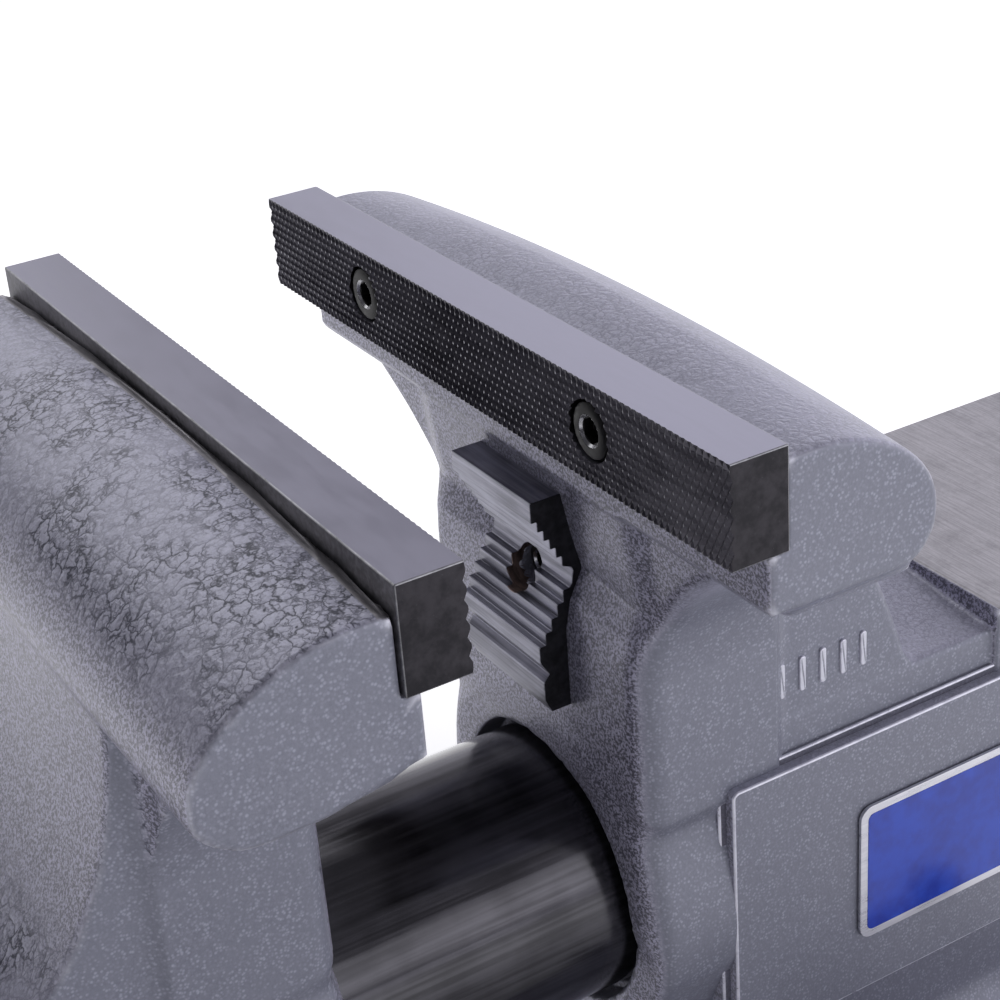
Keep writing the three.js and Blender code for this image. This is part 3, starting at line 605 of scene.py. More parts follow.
def hammered_paint(name, cell, web_depth, machined=None, tones=None):
    """Silver-grey hammered enamel: crazed on top, sandy grit on the fronts, light specks on the ends, and a
    painted highlight along sharp convex edges.
    """
    material, tree, shader, coord = start_material(
        name, Metallic=METAL_FLAKE, Coat_Weight=VARNISH, Coat_Roughness=0.3)
    place = coord.outputs["Object"]
    wide, edge = cracks(tree, place, cell, 0.12)
    narrow, _ = cracks(tree, place, cell * 0.45, 0.16)
    broken = noise(tree, place, 330, 3, 0.6).outputs[0]
    patch = noise(tree, place, 45, 3, 0.6).outputs[0]
    grit = noise(tree, place, 1700, 3, 0.65).outputs[0]
    speck = node(tree, "TexVoronoi", {"Vector": place, "Scale": 1300.0}, feature="F1").outputs[0]
    normal = node(tree, "SeparateXYZ", {0: coord.outputs["Normal"]})
    end = ramp(tree, maths(tree, "ABSOLUTE", normal.outputs[0]), 0.55, 0.85)
    front = ramp(tree, maths(tree, "ABSOLUTE", normal.outputs[1]), 0.72, 0.9)
    plain = maths(tree, "MAXIMUM", end, front)

    web = times(tree, wide, ramp(tree, broken, 0.3, 0.5, 0.15, 1.0))
    fine = times(tree, narrow, ramp(tree, broken, 0.62, 0.44, 0.0, 0.75))
    web = times(tree, maths(tree, "MAXIMUM", web, fine), ramp(tree, patch, 0.38, 0.6, 0.3, 1.0))
    web = times(tree, web, ramp(tree, plain, 0, 1, 1.0, 0.12))
    base = mix(tree, ramp(tree, grit, 0.35, 0.68), *(tones or (PAINT_DARK, PAINT_LIGHT)))
    sand = mix(tree, ramp(tree, grit, 0.42, 0.6), (0.07, 0.068, 0.09), (0.48, 0.47, 0.60))
    base = mix(tree, times(tree, front, 0.8), base, sand)
    dots = times(tree, ramp(tree, speck, 0.15, 0.55, 1.0, 0.0), ramp(tree, broken, 0.38, 0.6, 0.25, 1.0))
    flecked = mix(tree, dots, (0.175, 0.185, 0.23), (0.335, 0.35, 0.43))
    base = mix(tree, times(tree, end, 0.0 if tones else 0.8), base, flecked)
    base = mix(tree, times(tree, web, web_depth), base, (0.015, 0.017, 0.04))
    # painted highlight: sharp convex edges are lightened towards near white
    highlight_pointiness = tree.nodes.new("ShaderNodeNewGeometry").outputs["Pointiness"]
    base = mix(tree, times(tree, ramp(tree, highlight_pointiness, 0.53, 0.6), 0.7), base, (0.9, 0.9, 1.0))
    domes = times(tree, ramp(tree, edge, 0.0, 0.4), ramp(tree, plain, 0, 1, 1.0, 0.3))
    height = maths(tree, "ADD", domes, times(tree, grit, ramp(tree, plain, 0, 1, 0.3, 0.6)))

    if machined:
        mask = machined_areas(tree, node(tree, "SeparateXYZ", {0: place}), normal.outputs[2],
                              maths(tree, "SUBTRACT", 1.0, end), machined)
        lines = noise(tree, scaled(tree, place, (90, 2600, 400)), 1.0, 2, 0.6).outputs[0]
        scuff = noise(tree, place, 120, 4, 0.65).outputs[0]
        steel = mix(tree, ramp(tree, lines, 0.3, 0.7), (0.38, 0.37, 0.39), (0.5, 0.485, 0.51))
        steel = mix(tree, ramp(tree, scuff, 0.45, 0.75, 0.0, 0.5), steel, (0.25, 0.245, 0.26))
        base = mix(tree, mask, base, steel)
        metallic = maths(tree, "ADD", times(tree, mask, 0.95 - METAL_FLAKE), METAL_FLAKE)
        coat = maths(tree, "SUBTRACT", VARNISH, times(tree, mask, VARNISH))
        feed(tree, shader, Metallic=metallic, Coat_Weight=coat)
        scratches = times(tree, lines, 0.25)
        height = node(tree, "Mix", {0: mask, 2: height, 3: scratches}, data_type="FLOAT").outputs[0]
    normal = bump(tree, height, 0.5, 0.16)
    feed(tree, shader, Base_Color=base, Roughness=ramp(tree, grit, 0.3, 0.7, 0.38, 0.55), Normal=normal,
         Coat_Normal=normal)
    return material


def metal(name, dark, light, rough, metallic=1.0, grain=(300, 300, 300), relief=0.01, coat=0.0, top=None):
    """Bare or blackened metal with grain drawn out along one axis and a cloudy tone, or plain paint; given a
    top colour, faces turned upwards take it as a painted highlight.
    """
    material, tree, shader, coord = start_material(
        name, Metallic=metallic, Coat_Weight=coat, Coat_Roughness=0.12)
    place = coord.outputs["Object"]
    lines = noise(tree, scaled(tree, place, grain), 1.0, 3, 0.6).outputs[0]
    cloud = noise(tree, place, 55, 3, 0.6).outputs[0]
    fleck = noise(tree, place, 2200, 2, 0.7).outputs[0]
    tone = maths(tree, "ADD", times(tree, lines, 0.6), times(tree, cloud, 0.4))
    colour = mix(tree, ramp(tree, tone, 0.36, 0.64), dark, light)
    lighter = tuple(min(1.0, c * 1.8 + 0.02) for c in light)
    colour = mix(tree, ramp(tree, fleck, 0.66, 0.8, 0.0, 0.35), colour, lighter)
    # painted highlight: faces turned upwards blend to a lighter top colour, as if lit from above
    if top:
        upward = node(tree, "SeparateXYZ", {0: coord.outputs["Normal"]}).outputs[2]
        upper = mix(tree, ramp(tree, tone, 0.36, 0.64), tuple(c * 0.92 for c in top), top)
        colour = mix(tree, ramp(tree, upward, 0.3, 0.95), colour, upper)
    height = maths(tree, "ADD", lines, times(tree, fleck, 0.4))
    feed(tree, shader, Base_Color=colour, Roughness=ramp(tree, tone, 0.3, 0.7, *rough),
         Normal=bump(tree, height, 0.5, relief))
    return material


METAL_FLAKE, VARNISH = 0.4, 0.3
PAINT_DARK, PAINT_LIGHT = (0.34, 0.34, 0.425), (0.47, 0.47, 0.58)
ANVIL_TOP = ((-40.4, STATIC_FACE + 99.5, 170.6), (40.4, None, None), "up")
SEAT_EDGE = ((None, MOVING_FACE - SEAT - 2.4, 240), (None, MOVING_FACE - 8, None), "any")
PAINT_STATIC = hammered_paint("paint_static", 2.0, 0.35, [ANVIL_TOP])
PAINT_MOVING = hammered_paint("paint_moving", 3.4, 1.0, [SEAT_EDGE])
PAINT_BASE = hammered_paint("paint_base", 2.6, 0.55)
# painted shade: a dark copy of the paint for the first panel step, standing in for shade in the groove
# between the steps
PAINT_STEP_SHADE = hammered_paint("paint_step_shade", 2.0, 0.35, tones=((0.12, 0.12, 0.155), (0.18, 0.18, 0.23)))
# painted highlight: a bright paint for the rounded edges of the raised panels
PAINT_EDGE_HIGHLIGHT = metal("paint_edge_highlight", (0.6, 0.6, 0.7), (0.85, 0.85, 0.95), (0.25, 0.35), 0.4, relief=0.002, coat=0.3)

OXIDE_GRAIN = (90, 420, 420)
# The inserts' upward faces take a lighter top colour, a painted highlight, brighter on the static jaw.
OXIDE_LIT_TOP = {
    jaw: metal("black_oxide_" + jaw, (0.025, 0.024, 0.028), (0.048, 0.045, 0.052), (0.3, 0.42), 0.9,
               OXIDE_GRAIN, top=top)
    for jaw, top in (("static", (0.42, 0.415, 0.50)), ("moving", (0.265, 0.26, 0.32)))}
OXIDE_BACK = metal("black_oxide_back", (0.10, 0.098, 0.11), (0.22, 0.215, 0.24), (0.45, 0.6), 0.7,
                   (900, 900, 900), 0.04)
# painted highlight: the knurl's flank walls are a lighter copy of the black oxide
OXIDE_PIT_HIGHLIGHT = metal("black_oxide_pit_highlight", (0.07, 0.067, 0.08), (0.13, 0.125, 0.145), (0.3, 0.42), 0.9, OXIDE_GRAIN)
OXIDE_WORN = metal("black_oxide_worn", (0.14, 0.14, 0.15), (0.32, 0.32, 0.34), (0.25, 0.4),
                   grain=(400, 400, 400))
# painted highlight: the flat tops of the knurl's diamonds are a much lighter copy of the black oxide
OXIDE_TIP_HIGHLIGHT = metal("black_oxide_tip_highlight", (0.07, 0.068, 0.075), (0.36, 0.36, 0.39), (0.28, 0.42))
# painted highlight: bright metal for the chamfer round a black screw's socket
SCREW_RIM_HIGHLIGHT = metal("screw_rim_highlight", (0.35, 0.35, 0.37), (0.6, 0.6, 0.62), (0.2, 0.3), relief=0.005)
SCREW = metal("screw_black", (0.007, 0.0065, 0.007), (0.018, 0.017, 0.018), (0.4, 0.55), 0.6, (600, 600, 600))
PIPE_STEEL = metal("pipe_jaw_steel", (0.15, 0.15, 0.18), (0.38, 0.38, 0.45), (0.3, 0.45), 0.95,
                   (30, 900, 900), 0.02)
# painted highlight: a coppery colour on the pipe jaw's hole wall stands in for a coppery highlight inside the
# hole
PIPE_BORE_HIGHLIGHT = metal("pipe_jaw_bore_highlight", (0.16, 0.12, 0.11), (0.42, 0.31, 0.27), (0.3, 0.45), 0.9,
                  (300, 900, 300), 0.02)
PIPE_END = metal("pipe_jaw_end", (0.01, 0.01, 0.012), (0.025, 0.025, 0.03), (0.35, 0.5), 0.8,
                 (500, 500, 500), 0.02)
BAR = metal("bar_black", (0.04, 0.039, 0.045), (0.09, 0.088, 0.1), (0.12, 0.26), 0.9,
            (700, 14, 700), 0.008, 0.3)
STEEL = metal("plain_steel", (0.42, 0.42, 0.44), (0.55, 0.55, 0.57), (0.24, 0.34), relief=0.002)
BRONZE = metal("bronze", (0.36, 0.22, 0.09), (0.55, 0.36, 0.17), (0.28, 0.4), 1.0, (500, 500, 500))
NUT_IRON = metal("nut_iron", (0.12, 0.12, 0.13), (0.24, 0.24, 0.25), (0.35, 0.5), 0.95, relief=0.03)
LABEL_EDGE = metal("label_edge", (0.72, 0.72, 0.78), (0.88, 0.88, 0.93), (0.25, 0.35), 0.9,
                   (60, 60, 900), 0.006)
LABEL_BLUE = metal("label_blue", (0.002, 0.03, 0.4), (0.004, 0.055, 0.56), (0.18, 0.26), 0.1,
                   (200, 200, 200), 0.004, 0.6)


# ---------- castings

for name, shape, low, high, step, keep, material in (
        ("static_jaw_body", static_casting, (-98, -98, 28), (98, 116, 254), 1.3, 0.45, PAINT_STATIC),
        ("moving_jaw_body", moving_casting, (-84, -236, 76), (84, -130, 252), 1.3, 0.45, PAINT_MOVING),
        ("swivel_base", base_casting, (-106, -106, 0), (106, 106, 42), 1.5, 0.5, PAINT_BASE)):
    stand_for(casting(name + "_casting", shape, low, high, step, keep), name, material)


# ---------- inserts and their screws

KNURL_COLUMNS, KNURL_ROWS = 190, 12
KNURL_DEPTH = 0.6
KNURL_FLAT = 0.22
COUNTERBORE, COUNTERBORE_DEPTH, INSERT_HOLE = 5.9, 7.5, 4.0
INSERT_BOTTOM = JAW_TOP - INSERT_TALL


def knurled_insert(name, face, direction, oxide):
    """A bar with pointed diamonds over its front face and two counterbored holes."""
    wide, tall = 2 * INSERT_HALF / KNURL_COLUMNS, INSERT_TALL / KNURL_ROWS
    points, faces, tips = [], [], []
    index = {}

    def vertex(i, j, depth):
        key = (round(i, 3), round(j, 3))
        if key not in index:
            index[key] = len(points)
            points.append((i * wide - INSERT_HALF, face + direction * depth, j * tall + INSERT_BOTTOM))
        return index[key]

    def pit(i, j):
        return vertex(i, j, KNURL_DEPTH * {0: 0.45, KNURL_ROWS: 0.22}.get(j, 1))

    def tip(i, j, di, dj):
        return vertex(i + KNURL_FLAT * di, j + KNURL_FLAT * dj, 0)

    def inside(i, j):
        return 0 <= i <= KNURL_COLUMNS and 0 <= j <= KNURL_ROWS

    ways = [(1, 0), (0, 1), (-1, 0), (0, -1)]
    for i in range(KNURL_COLUMNS + 1):
        for j in range(KNURL_ROWS + 1):
            if (i + j) % 2 == 0:
                continue
            top = []
            for k, (di, dj) in enumerate(ways):
                ei, ej = ways[(k + 1) % 4]
                if inside(i + di, j + dj):
                    top.append(tip(i, j, di, dj))
                    if inside(i + ei, j + ej):
                        faces.append([pit(i + di, j + dj), pit(i + ei, j + ej), tip(i, j, ei, ej), top[-1]])
                else:
                    top.append(vertex(i, j, 0))
            tips.append(len(faces))
            faces.append(top)

    def along(cells):
        chain = []
        for (i, j), (di, dj) in cells:
            if (i + j) % 2 == 0:
                chain.append(pit(i, j))
            else:
                chain += [tip(i, j, -di, -dj), vertex(i, j, 0), tip(i, j, di, dj)]
        return chain

    sides = [along([((i, 0), (1, 0)) for i in range(KNURL_COLUMNS + 1)]),
             along([((KNURL_COLUMNS, j), (0, 1)) for j in range(KNURL_ROWS + 1)]),
             along([((i, KNURL_ROWS), (-1, 0)) for i in range(KNURL_COLUMNS, -1, -1)]),
             along([((0, j), (0, -1)) for j in range(KNURL_ROWS, -1, -1)])]
    walls = len(faces)
    corners = []
    for side in sides:
        x, _, z = points[side[0]]
        corners.append(len(points))
        points.append((x, face + direction * INSERT_THICK, z))
    for k, side in enumerate(sides):
        faces.append(side + [corners[(k + 1) % 4], corners[k]])
    faces.append(corners)
    obj = mesh_object(name, points, faces)
    # The knurl's flank walls and flat diamond tops take lighter oxide colours, painted highlights.
    _, worn, tip_highlight_slot, back_slot, pit_highlight_slot = range(5)
    for k in range(walls):
        obj.data.polygons[k].material_index = pit_highlight_slot
    for k in tips:
        obj.data.polygons[k].material_index = tip_highlight_slot
    obj.data.polygons[-1].material_index = back_slot
    for material in (oxide, OXIDE_WORN, OXIDE_TIP_HIGHLIGHT, OXIDE_BACK, OXIDE_PIT_HIGHLIGHT):
        obj.data.materials.append(material)
    bm = bmesh.new()
    bm.from_mesh(obj.data)
    bmesh.ops.recalc_face_normals(bm, faces=bm.faces)
    weight = bm.edges.layers.float.new("bevel_weight_edge")
    back = {(round(points[c][0], 2), round(points[c][2], 2)) for c in corners}
    for edge in bm.edges:
        flat = [(round(v.co.x / MM, 2), round(v.co.z / MM, 2)) in back for v in edge.verts]
        rear = [abs(v.co.y / MM - face) > INSERT_THICK - 0.1 for v in edge.verts]
        if all(flat) and any(rear):
            edge[weight] = 1.0
    bm.to_mesh(obj.data)
    bm.free()
    modifier = obj.modifiers.new("edges", "BEVEL")
    modifier.width = 0.25 * MM
    modifier.segments = 2
    modifier.limit_method = "WEIGHT"
    modifier.material = worn
    modifier.use_clamp_overlap = False
    apply_modifiers(obj)
    tools = []
    for sign in (-1, 1):
        x = sign * SCREW_X
        low, high = sorted((face - direction * 2, face + direction * COUNTERBORE_DEPTH))
        tools.append(rod("bore", COUNTERBORE, low, high, "y", (x, SCREW_Z), 64))
        low, high = sorted((face, face + direction * (INSERT_THICK + 2)))
        tools.append(rod("hole", INSERT_HOLE, low, high, "y", (x, SCREW_Z), 40))
    return carve(obj, *tools)


INSERT_SCREW = {"head_radius": 5.6, "shank_radius": 3.7, "head_depth": 0.4, "head_end": 7.2, "end": 15.4}
PIPE_SCREW = {"head_radius": 4.1, "shank_radius": 2.9, "head_depth": 13.0, "head_end": 14.8, "end": 33.4}


def socket_screw(name, face, direction, x, z, head_radius, shank_radius, head_depth, head_end, end):
    """A socket head cap screw along Y, with a rounded rim and a six-sided socket whose mouth chamfer carries
    a painted highlight; its ends are depths.
    """
    at = (x, z)
    spots = [(0, head_depth), (head_radius - 1.1, head_depth), (head_radius - 0.35, head_depth + 0.3),
             (head_radius, head_depth + 1.1), (head_radius, head_end), (shank_radius, head_end),
             (shank_radius, end - 0.8), (shank_radius - 0.8, end), (0, end)]
    screw = turned(name, [(r, face + direction * d) for r, d in spots], "y", at, 64)
    hexagon = head_radius * 0.47
    low, high = sorted((face + direction * (head_depth - 1), face + direction * (head_depth + 2.6)))
    socket = rod("socket", hexagon, low, high, "y", at, 6, 0.5)
    above, below = head_depth - 0.6, head_depth + 0.55
    mouth = [(0, above), (hexagon + 1.05, above), (hexagon - 0.1, below), (0, below)]
    cone = turned("mouth", [(r, face + direction * d) for r, d in mouth], "y", at, 48)
    carve(screw, socket, cone)
    finish_piece(screw, 0.1, 2, 38)
    screw.data.materials.append(SCREW)
    screw.data.materials.append(SCREW_RIM_HIGHLIGHT)
    # painted highlight on the faces of the socket's mouth chamfer
    for part in screw.data.polygons:
        away = math.hypot(part.center.x / MM - x, part.center.z / MM - z)
        depth = (part.center.y / MM - face) * direction - head_depth
        if hexagon - 0.3 < away < hexagon + 0.7 and abs(part.normal.y) > 0.4 and 0.02 < depth < 0.5:
            part.material_index = 1
    return screw


for jaw, face, direction in JAWS:
    stand_for(knurled_insert(jaw + "_insert", face, direction, OXIDE_LIT_TOP[jaw]), jaw + "_jaw_insert")
    for side, sign in SIDES:
        screw = socket_screw(f"{jaw}_screw_{side}", face, direction, sign * SCREW_X, SCREW_Z, **INSERT_SCREW)
        stand_for(screw, f"{jaw}_insert_screw_{side}")


# ---------- pipe jaws

def teeth(start, end, count, upper):
    points = []
    for i in range(count):
        here = [a + (b - a) * i / count for a, b in zip(start, end)]
        there = [a + (b - a) * (i + 1) / count for a, b in zip(start, end)]
        points += [tuple(here), (here[0], there[1]) if upper else (there[0], here[1])]
    return points


PIPE_OUTLINE = [
    *teeth((3, 37.9), (10.6, 51.6), 6, True), (11.4, 52.4), (11.7, 53.3), (11.2, 56),
    *teeth((10.6, 56.8), (2.9, 70.4), 5, False), (2.9, 71.4), (4.8, 74.4), (3.4, 76), (3.4, 80.2),
    (4.8, 83.3), (10.9, 83.3), (10.9, 66), (12.2, 59.5), (15.4, 53.3), (13.4, 45.4), (11.4, 35.7), (3, 35.7)]


def pipe_jaw(name, face, direction):
    outline = [(face + direction * depth, JAW_TOP - drop) for depth, drop in PIPE_OUTLINE]
    jaw = prism(name, outline, -PIPE_HALF, PIPE_HALF, "x")
    z = JAW_TOP - PIPE_HOLE_DROP
    low, high = sorted((face, face + direction * 16))
    narrow = sorted((face, face + direction * 20))
    carve(jaw, rod("head", PIPE_HEAD_HOLE, low, high, "y", (0, z), 56),
          rod("shank", PIPE_SHANK_HOLE, *narrow, "y", (0, z), 40))
    finish_piece(jaw, 0.22, 2, 30)
    for material in (PIPE_STEEL, PIPE_END, PIPE_BORE_HIGHLIGHT):
        jaw.data.materials.append(material)
    for part in jaw.data.polygons:
        away = math.hypot(part.center.x / MM, part.center.z / MM - z)
        if abs(part.normal.x) > 0.9 and away > 6:
            part.material_index = 1
        # the hole wall takes the painted coppery highlight
        elif away < PIPE_HEAD_HOLE + 0.05 and abs(part.normal.y) < 0.5:
            part.material_index = 2
    return jaw


for jaw, face, direction in JAWS:
    stand_for(pipe_jaw(jaw + "_pipe_plate", face, direction), jaw + "_pipe_jaw")
    screw = socket_screw(jaw + "_pipe_screw", face, direction, 0, JAW_TOP - PIPE_HOLE_DROP, **PIPE_SCREW)
    stand_for(screw, jaw + "_pipe_jaw_screw")


# ---------- slide bar, spindle, handle and nut

BAR_INNER = 20
CROSS_PIN_HOLE = 2.3

bar = turned("bar", [(BAR_RADIUS, BAR_FRONT), (BAR_RADIUS, BAR_REAR), (BAR_INNER, BAR_REAR),
                     (BAR_INNER, BAR_FRONT)], steps=128, closed=True)
slot = block("slot", (-6.5, 6.5), (-86, 108), (BAR_Z - 32, BAR_Z - 10))
carve(bar, slot, *[rod("pin_hole", PIN_HOLE, 80, BAR_Z - 15, "z", (0, y), 32) for y in PIN_PLACES])
stand_for(finish_piece(bar, 0.8, 3), "slide_bar", BAR)
for k, y in enumerate(PIN_PLACES):
    low, high = box_mm(f"slide_bar_pin_{k + 1}")
    pin = finish_piece(rod(f"pin_{k + 1}", 4, low[2], high[2], "z", (0, y)), 0.6)
    stand_for(pin, f"slide_bar_pin_{k + 1}", STEEL)
CAP_FRONT, CAP_REAR = (corner[1] for corner in box_mm("slide_bar_end_cap"))
cap = turned("bar_cap", [
    (0, CAP_FRONT), (19.7, CAP_FRONT), (19.7, BAR_REAR + GAP), (28, BAR_REAR + GAP), (28, CAP_REAR - 1.5),
    (26, CAP_REAR), (12, CAP_REAR), (10, CAP_REAR - 1.2), (0, CAP_REAR - 1.2)])
stand_for(finish_piece(cap, 0.3), "slide_bar_end_cap", SCREW)

HUB_FRONT, TIP = (corner[1] for corner in box_mm("spindle"))
HUB_REAR = -242.3
HANDLE_Y = middle_of("handle_bar", 1)
THREAD_RADIUS, THREAD_DEPTH, THREAD_LEAD, THREAD_START = 10.9, 2.2, 6.35, -200.0
hub = turned("hub", [
    (0, HUB_FRONT), (13, HUB_FRONT), (17, HUB_FRONT + 2.2), (18.8, HUB_FRONT + 6), (19, HUB_FRONT + 10),
    (19, HUB_REAR - 12), (19.8, HUB_REAR - 9), (22, HUB_REAR - 6.4), (22, HUB_REAR - 1), (21, HUB_REAR),
    (11, HUB_REAR), (11, THREAD_START), (0, THREAD_START)], steps=96)
carve(hub, rod("cross", 8.6, -40, 40, "x", (HANDLE_Y, BAR_Z), 64),
      rod("pin", CROSS_PIN_HOLE, -20, 20, "x", (middle_of("spindle_collar_pin", 1), BAR_Z), 24))
finish_piece(hub, 0.5, 3)


def thread_rod(name, radius, depth, lead, start, end, around=40):
    """A screw thread's own surface: each turn moves one lead along the rod."""
    rows = int(round((end - start) / (lead / 10)))
    points, faces = [], []
    for row in range(rows + 1):
        along = start + (end - start) * row / rows
        fade = min(1.0, (along - start) / lead, (end - along) / 3)
        for i in range(around):
            turn = 2 * math.pi * i / around
            wave = abs((along / lead - i / around) % 1 * 2 - 1)
            r = radius - depth * min(1.0, max(0.0, (wave - 0.3) / 0.4)) * fade
            points.append((r * math.cos(turn), along, BAR_Z + r * math.sin(turn)))
    for row in range(rows):
        for i in range(around):
            j = (i + 1) % around
            faces.append([row * around + i, row * around + j, (row + 1) * around + j, (row + 1) * around + i])
    faces += [list(range(around)), list(range(rows * around, (rows + 1) * around))]
    return finish_piece(closed_mesh(name, points, faces), angle=50)


thread = thread_rod("thread", THREAD_RADIUS, THREAD_DEPTH, THREAD_LEAD, THREAD_START + 0.02, TIP)
for piece in (hub, thread):
    piece.data.materials.append(STEEL)
stand_for(merge("spindle_screw", hub, thread), "spindle")


def ring(name, inner, outer, low, high, **place):
    return turned(name, [(inner, low), (outer, low), (outer, high), (inner, high)], closed=True, **place)


low, high = box_mm("spindle_thrust_washer")
washer = ring("thrust_washer", 11.6, high[0], low[1], high[1], steps=80)
stand_for(finish_piece(washer, 0.5), "spindle_thrust_washer", BRONZE)
low, high = box_mm("spindle_collar")
collar_pin_y = middle_of("spindle_collar", 1)
collar = carve(ring("collar", 11.3, 17.5, low[1], high[1]),
               rod("pin", CROSS_PIN_HOLE, -25, 25, "x", (collar_pin_y, BAR_Z), 24))
stand_for(finish_piece(collar, 0.4), "spindle_collar", STEEL)
collar_pin = finish_piece(rod("collar_pin", 2, -17, 17, "x", (collar_pin_y, BAR_Z), 24), 0.3)
stand_for(collar_pin, "spindle_collar_pin", STEEL)

nut = carve(rod("nut", 18.5, -45, -3), block("post", (-5.7, 5.7), (-36, -12), (84.3, BAR_Z - 8)),
            operation="UNION")
carve(nut, rod("bore", 11.4, -46, -2), rod("tapped", NUT_BOLT_HOLE, 80, 99, "z", (0, NUT_BOLT_Y), 24))
stand_for(finish_piece(nut, 0.6), "spindle_nut", NUT_IRON)
bolt = turned("nut_bolt_head", [(0, 70.7), (4.4, 70.7), (5, 71.3), (5, 75.7), (3, 75.7), (3, 97), (0, 97)],
              "z", (0, NUT_BOLT_Y), 40)
carve(bolt, rod("socket", 2.6, 69, 73.5, "z", (0, NUT_BOLT_Y), 6))
stand_for(finish_piece(bolt, 0.15), "nut_bolt", SCREW)

KNOB_LENGTH = 12


def hand_bar(name, radius, half, axis, at):
    """A hand bar with a thinner spigot at each end for its knob."""
    inner, spigot = half - KNOB_LENGTH, radius * 0.7
    profile = [(0, -half), (spigot, -half), (spigot, -inner), (radius, -inner), (radius, inner),
               (spigot, inner), (spigot, half), (0, half)]
    return finish_piece(turned(name, profile, axis, at, 64), 0.4)


def knob(name, sign, radius, half, bar_radius, axis, at):
    """A turned knob with a waist beside the bar and a domed end."""
    inner, length, widest = half - KNOB_LENGTH + GAP, 16 + GAP, 9
    profile = [(0, 0), (bar_radius + 1, 0), (bar_radius + 1.6, 0.6), (radius - 1.4, 3), (radius - 0.3, 5),
               (radius, 7)]
    profile += [(radius * math.cos(t), widest + (length - widest) * math.sin(t))
                for t in np.linspace(0, math.pi / 2, 10)]
    profile = [(r if r > 1e-4 else 0, sign * (inner + d)) for r, d in profile]
    return finish_piece(turned(name, profile, axis, at, 64), 0.15)


HANDLE_RADIUS, HANDLE_HALF = 8, 128
stand_for(hand_bar("handle_rod", HANDLE_RADIUS, HANDLE_HALF, "x", (HANDLE_Y, BAR_Z)), "handle_bar", STEEL)
for side, sign in SIDES:
    ball = knob(f"handle_ball_{side}", sign, 13, HANDLE_HALF, HANDLE_RADIUS, "x", (HANDLE_Y, BAR_Z))
    stand_for(ball, f"handle_knob_{side}", STEEL)


# ---------- nameplates and foundry marks

def rounded_rectangle(low, high, r, steps=6):
    points = []
    for (cx, cy), start in (((high[0] - r, high[1] - r), 0), ((low[0] + r, high[1] - r), 90),
                            ((low[0] + r, low[1] + r), 180), ((high[0] - r, low[1] + r), 270)):
        points += ellipse_arc((cx, cy), (r, r), start, start + 90, steps)
    return points


def raised(name, across, low, high, r, bevel, material=PAINT_STATIC):
    """A flat raised panel between two X places; low and high are (y, z) corners. Its slanting bevel faces
    take a painted highlight.
    """
    made = finish_piece(prism(name, rounded_rectangle(low, high, r, 3), *sorted(across), "x"), bevel, 3)
    made.data.materials.append(material)
    made.data.materials.append(PAINT_EDGE_HIGHLIGHT)
    # painted highlight on the bevel faces
    for part in made.data.polygons:
        if 0.2 < abs(part.normal.x) < 0.98:
            part.material_index = 1
    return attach(made, "fixed_jaw")


PANEL_STEPS = ((39.5, 27, 164, 96.7, 166.8), (42.0, 28.8, 162.2, 98.5, 165.0))
# The first panel step carries painted shade; the panels' bevels carry a painted highlight.
for side, sign in SIDES:
    for k, (half, front, rear, top, bottom) in enumerate(PANEL_STEPS):
        raised(f"side_panel_{side}_{k + 1}", (sign * 33, sign * half),
               (STATIC_FACE + front, JAW_TOP - bottom), (STATIC_FACE + rear, JAW_TOP - top),
               1.5, 0.5, (PAINT_STEP_SHADE, PAINT_STATIC)[k])
    for k in range(6):
        at = STATIC_FACE + 38 + 5.2 * k
        raised(f"cast_mark_{side}_{k + 1}", (sign * (NECK_HALF - 2), sign * (NECK_HALF + 0.55)),
               (at, JAW_TOP - 83.6), (at + 1.5, JAW_TOP - 75.6), 0.6, 0.3)

for side, sign in SIDES:
    low, high = box_mm(f"nameplate_{side}")
    inner, outer = sorted((abs(low[0]), abs(high[0])))
    layers = []
    for inset, r, base, top, material in ((0, 3.0, inner, outer - 0.12, LABEL_EDGE),
                                          (1.9, 1.6, outer - 0.3, outer, LABEL_BLUE)):
        outline = rounded_rectangle((low[1] + inset, low[2] + inset), (high[1] - inset, high[2] - inset), r)
        layer = finish_piece(prism("layer", outline, *sorted((sign * base, sign * top)), "x"), 0.08)
        layer.data.materials.append(material)
        layers.append(layer)
    stand_for(merge(f"plate_{side}", *layers), f"nameplate_{side}")


# ---------- swivel locks

LOCK_BAR_Z, LOCK_BAR_RADIUS, LOCK_BAR_HALF = 68, 4.5, 46

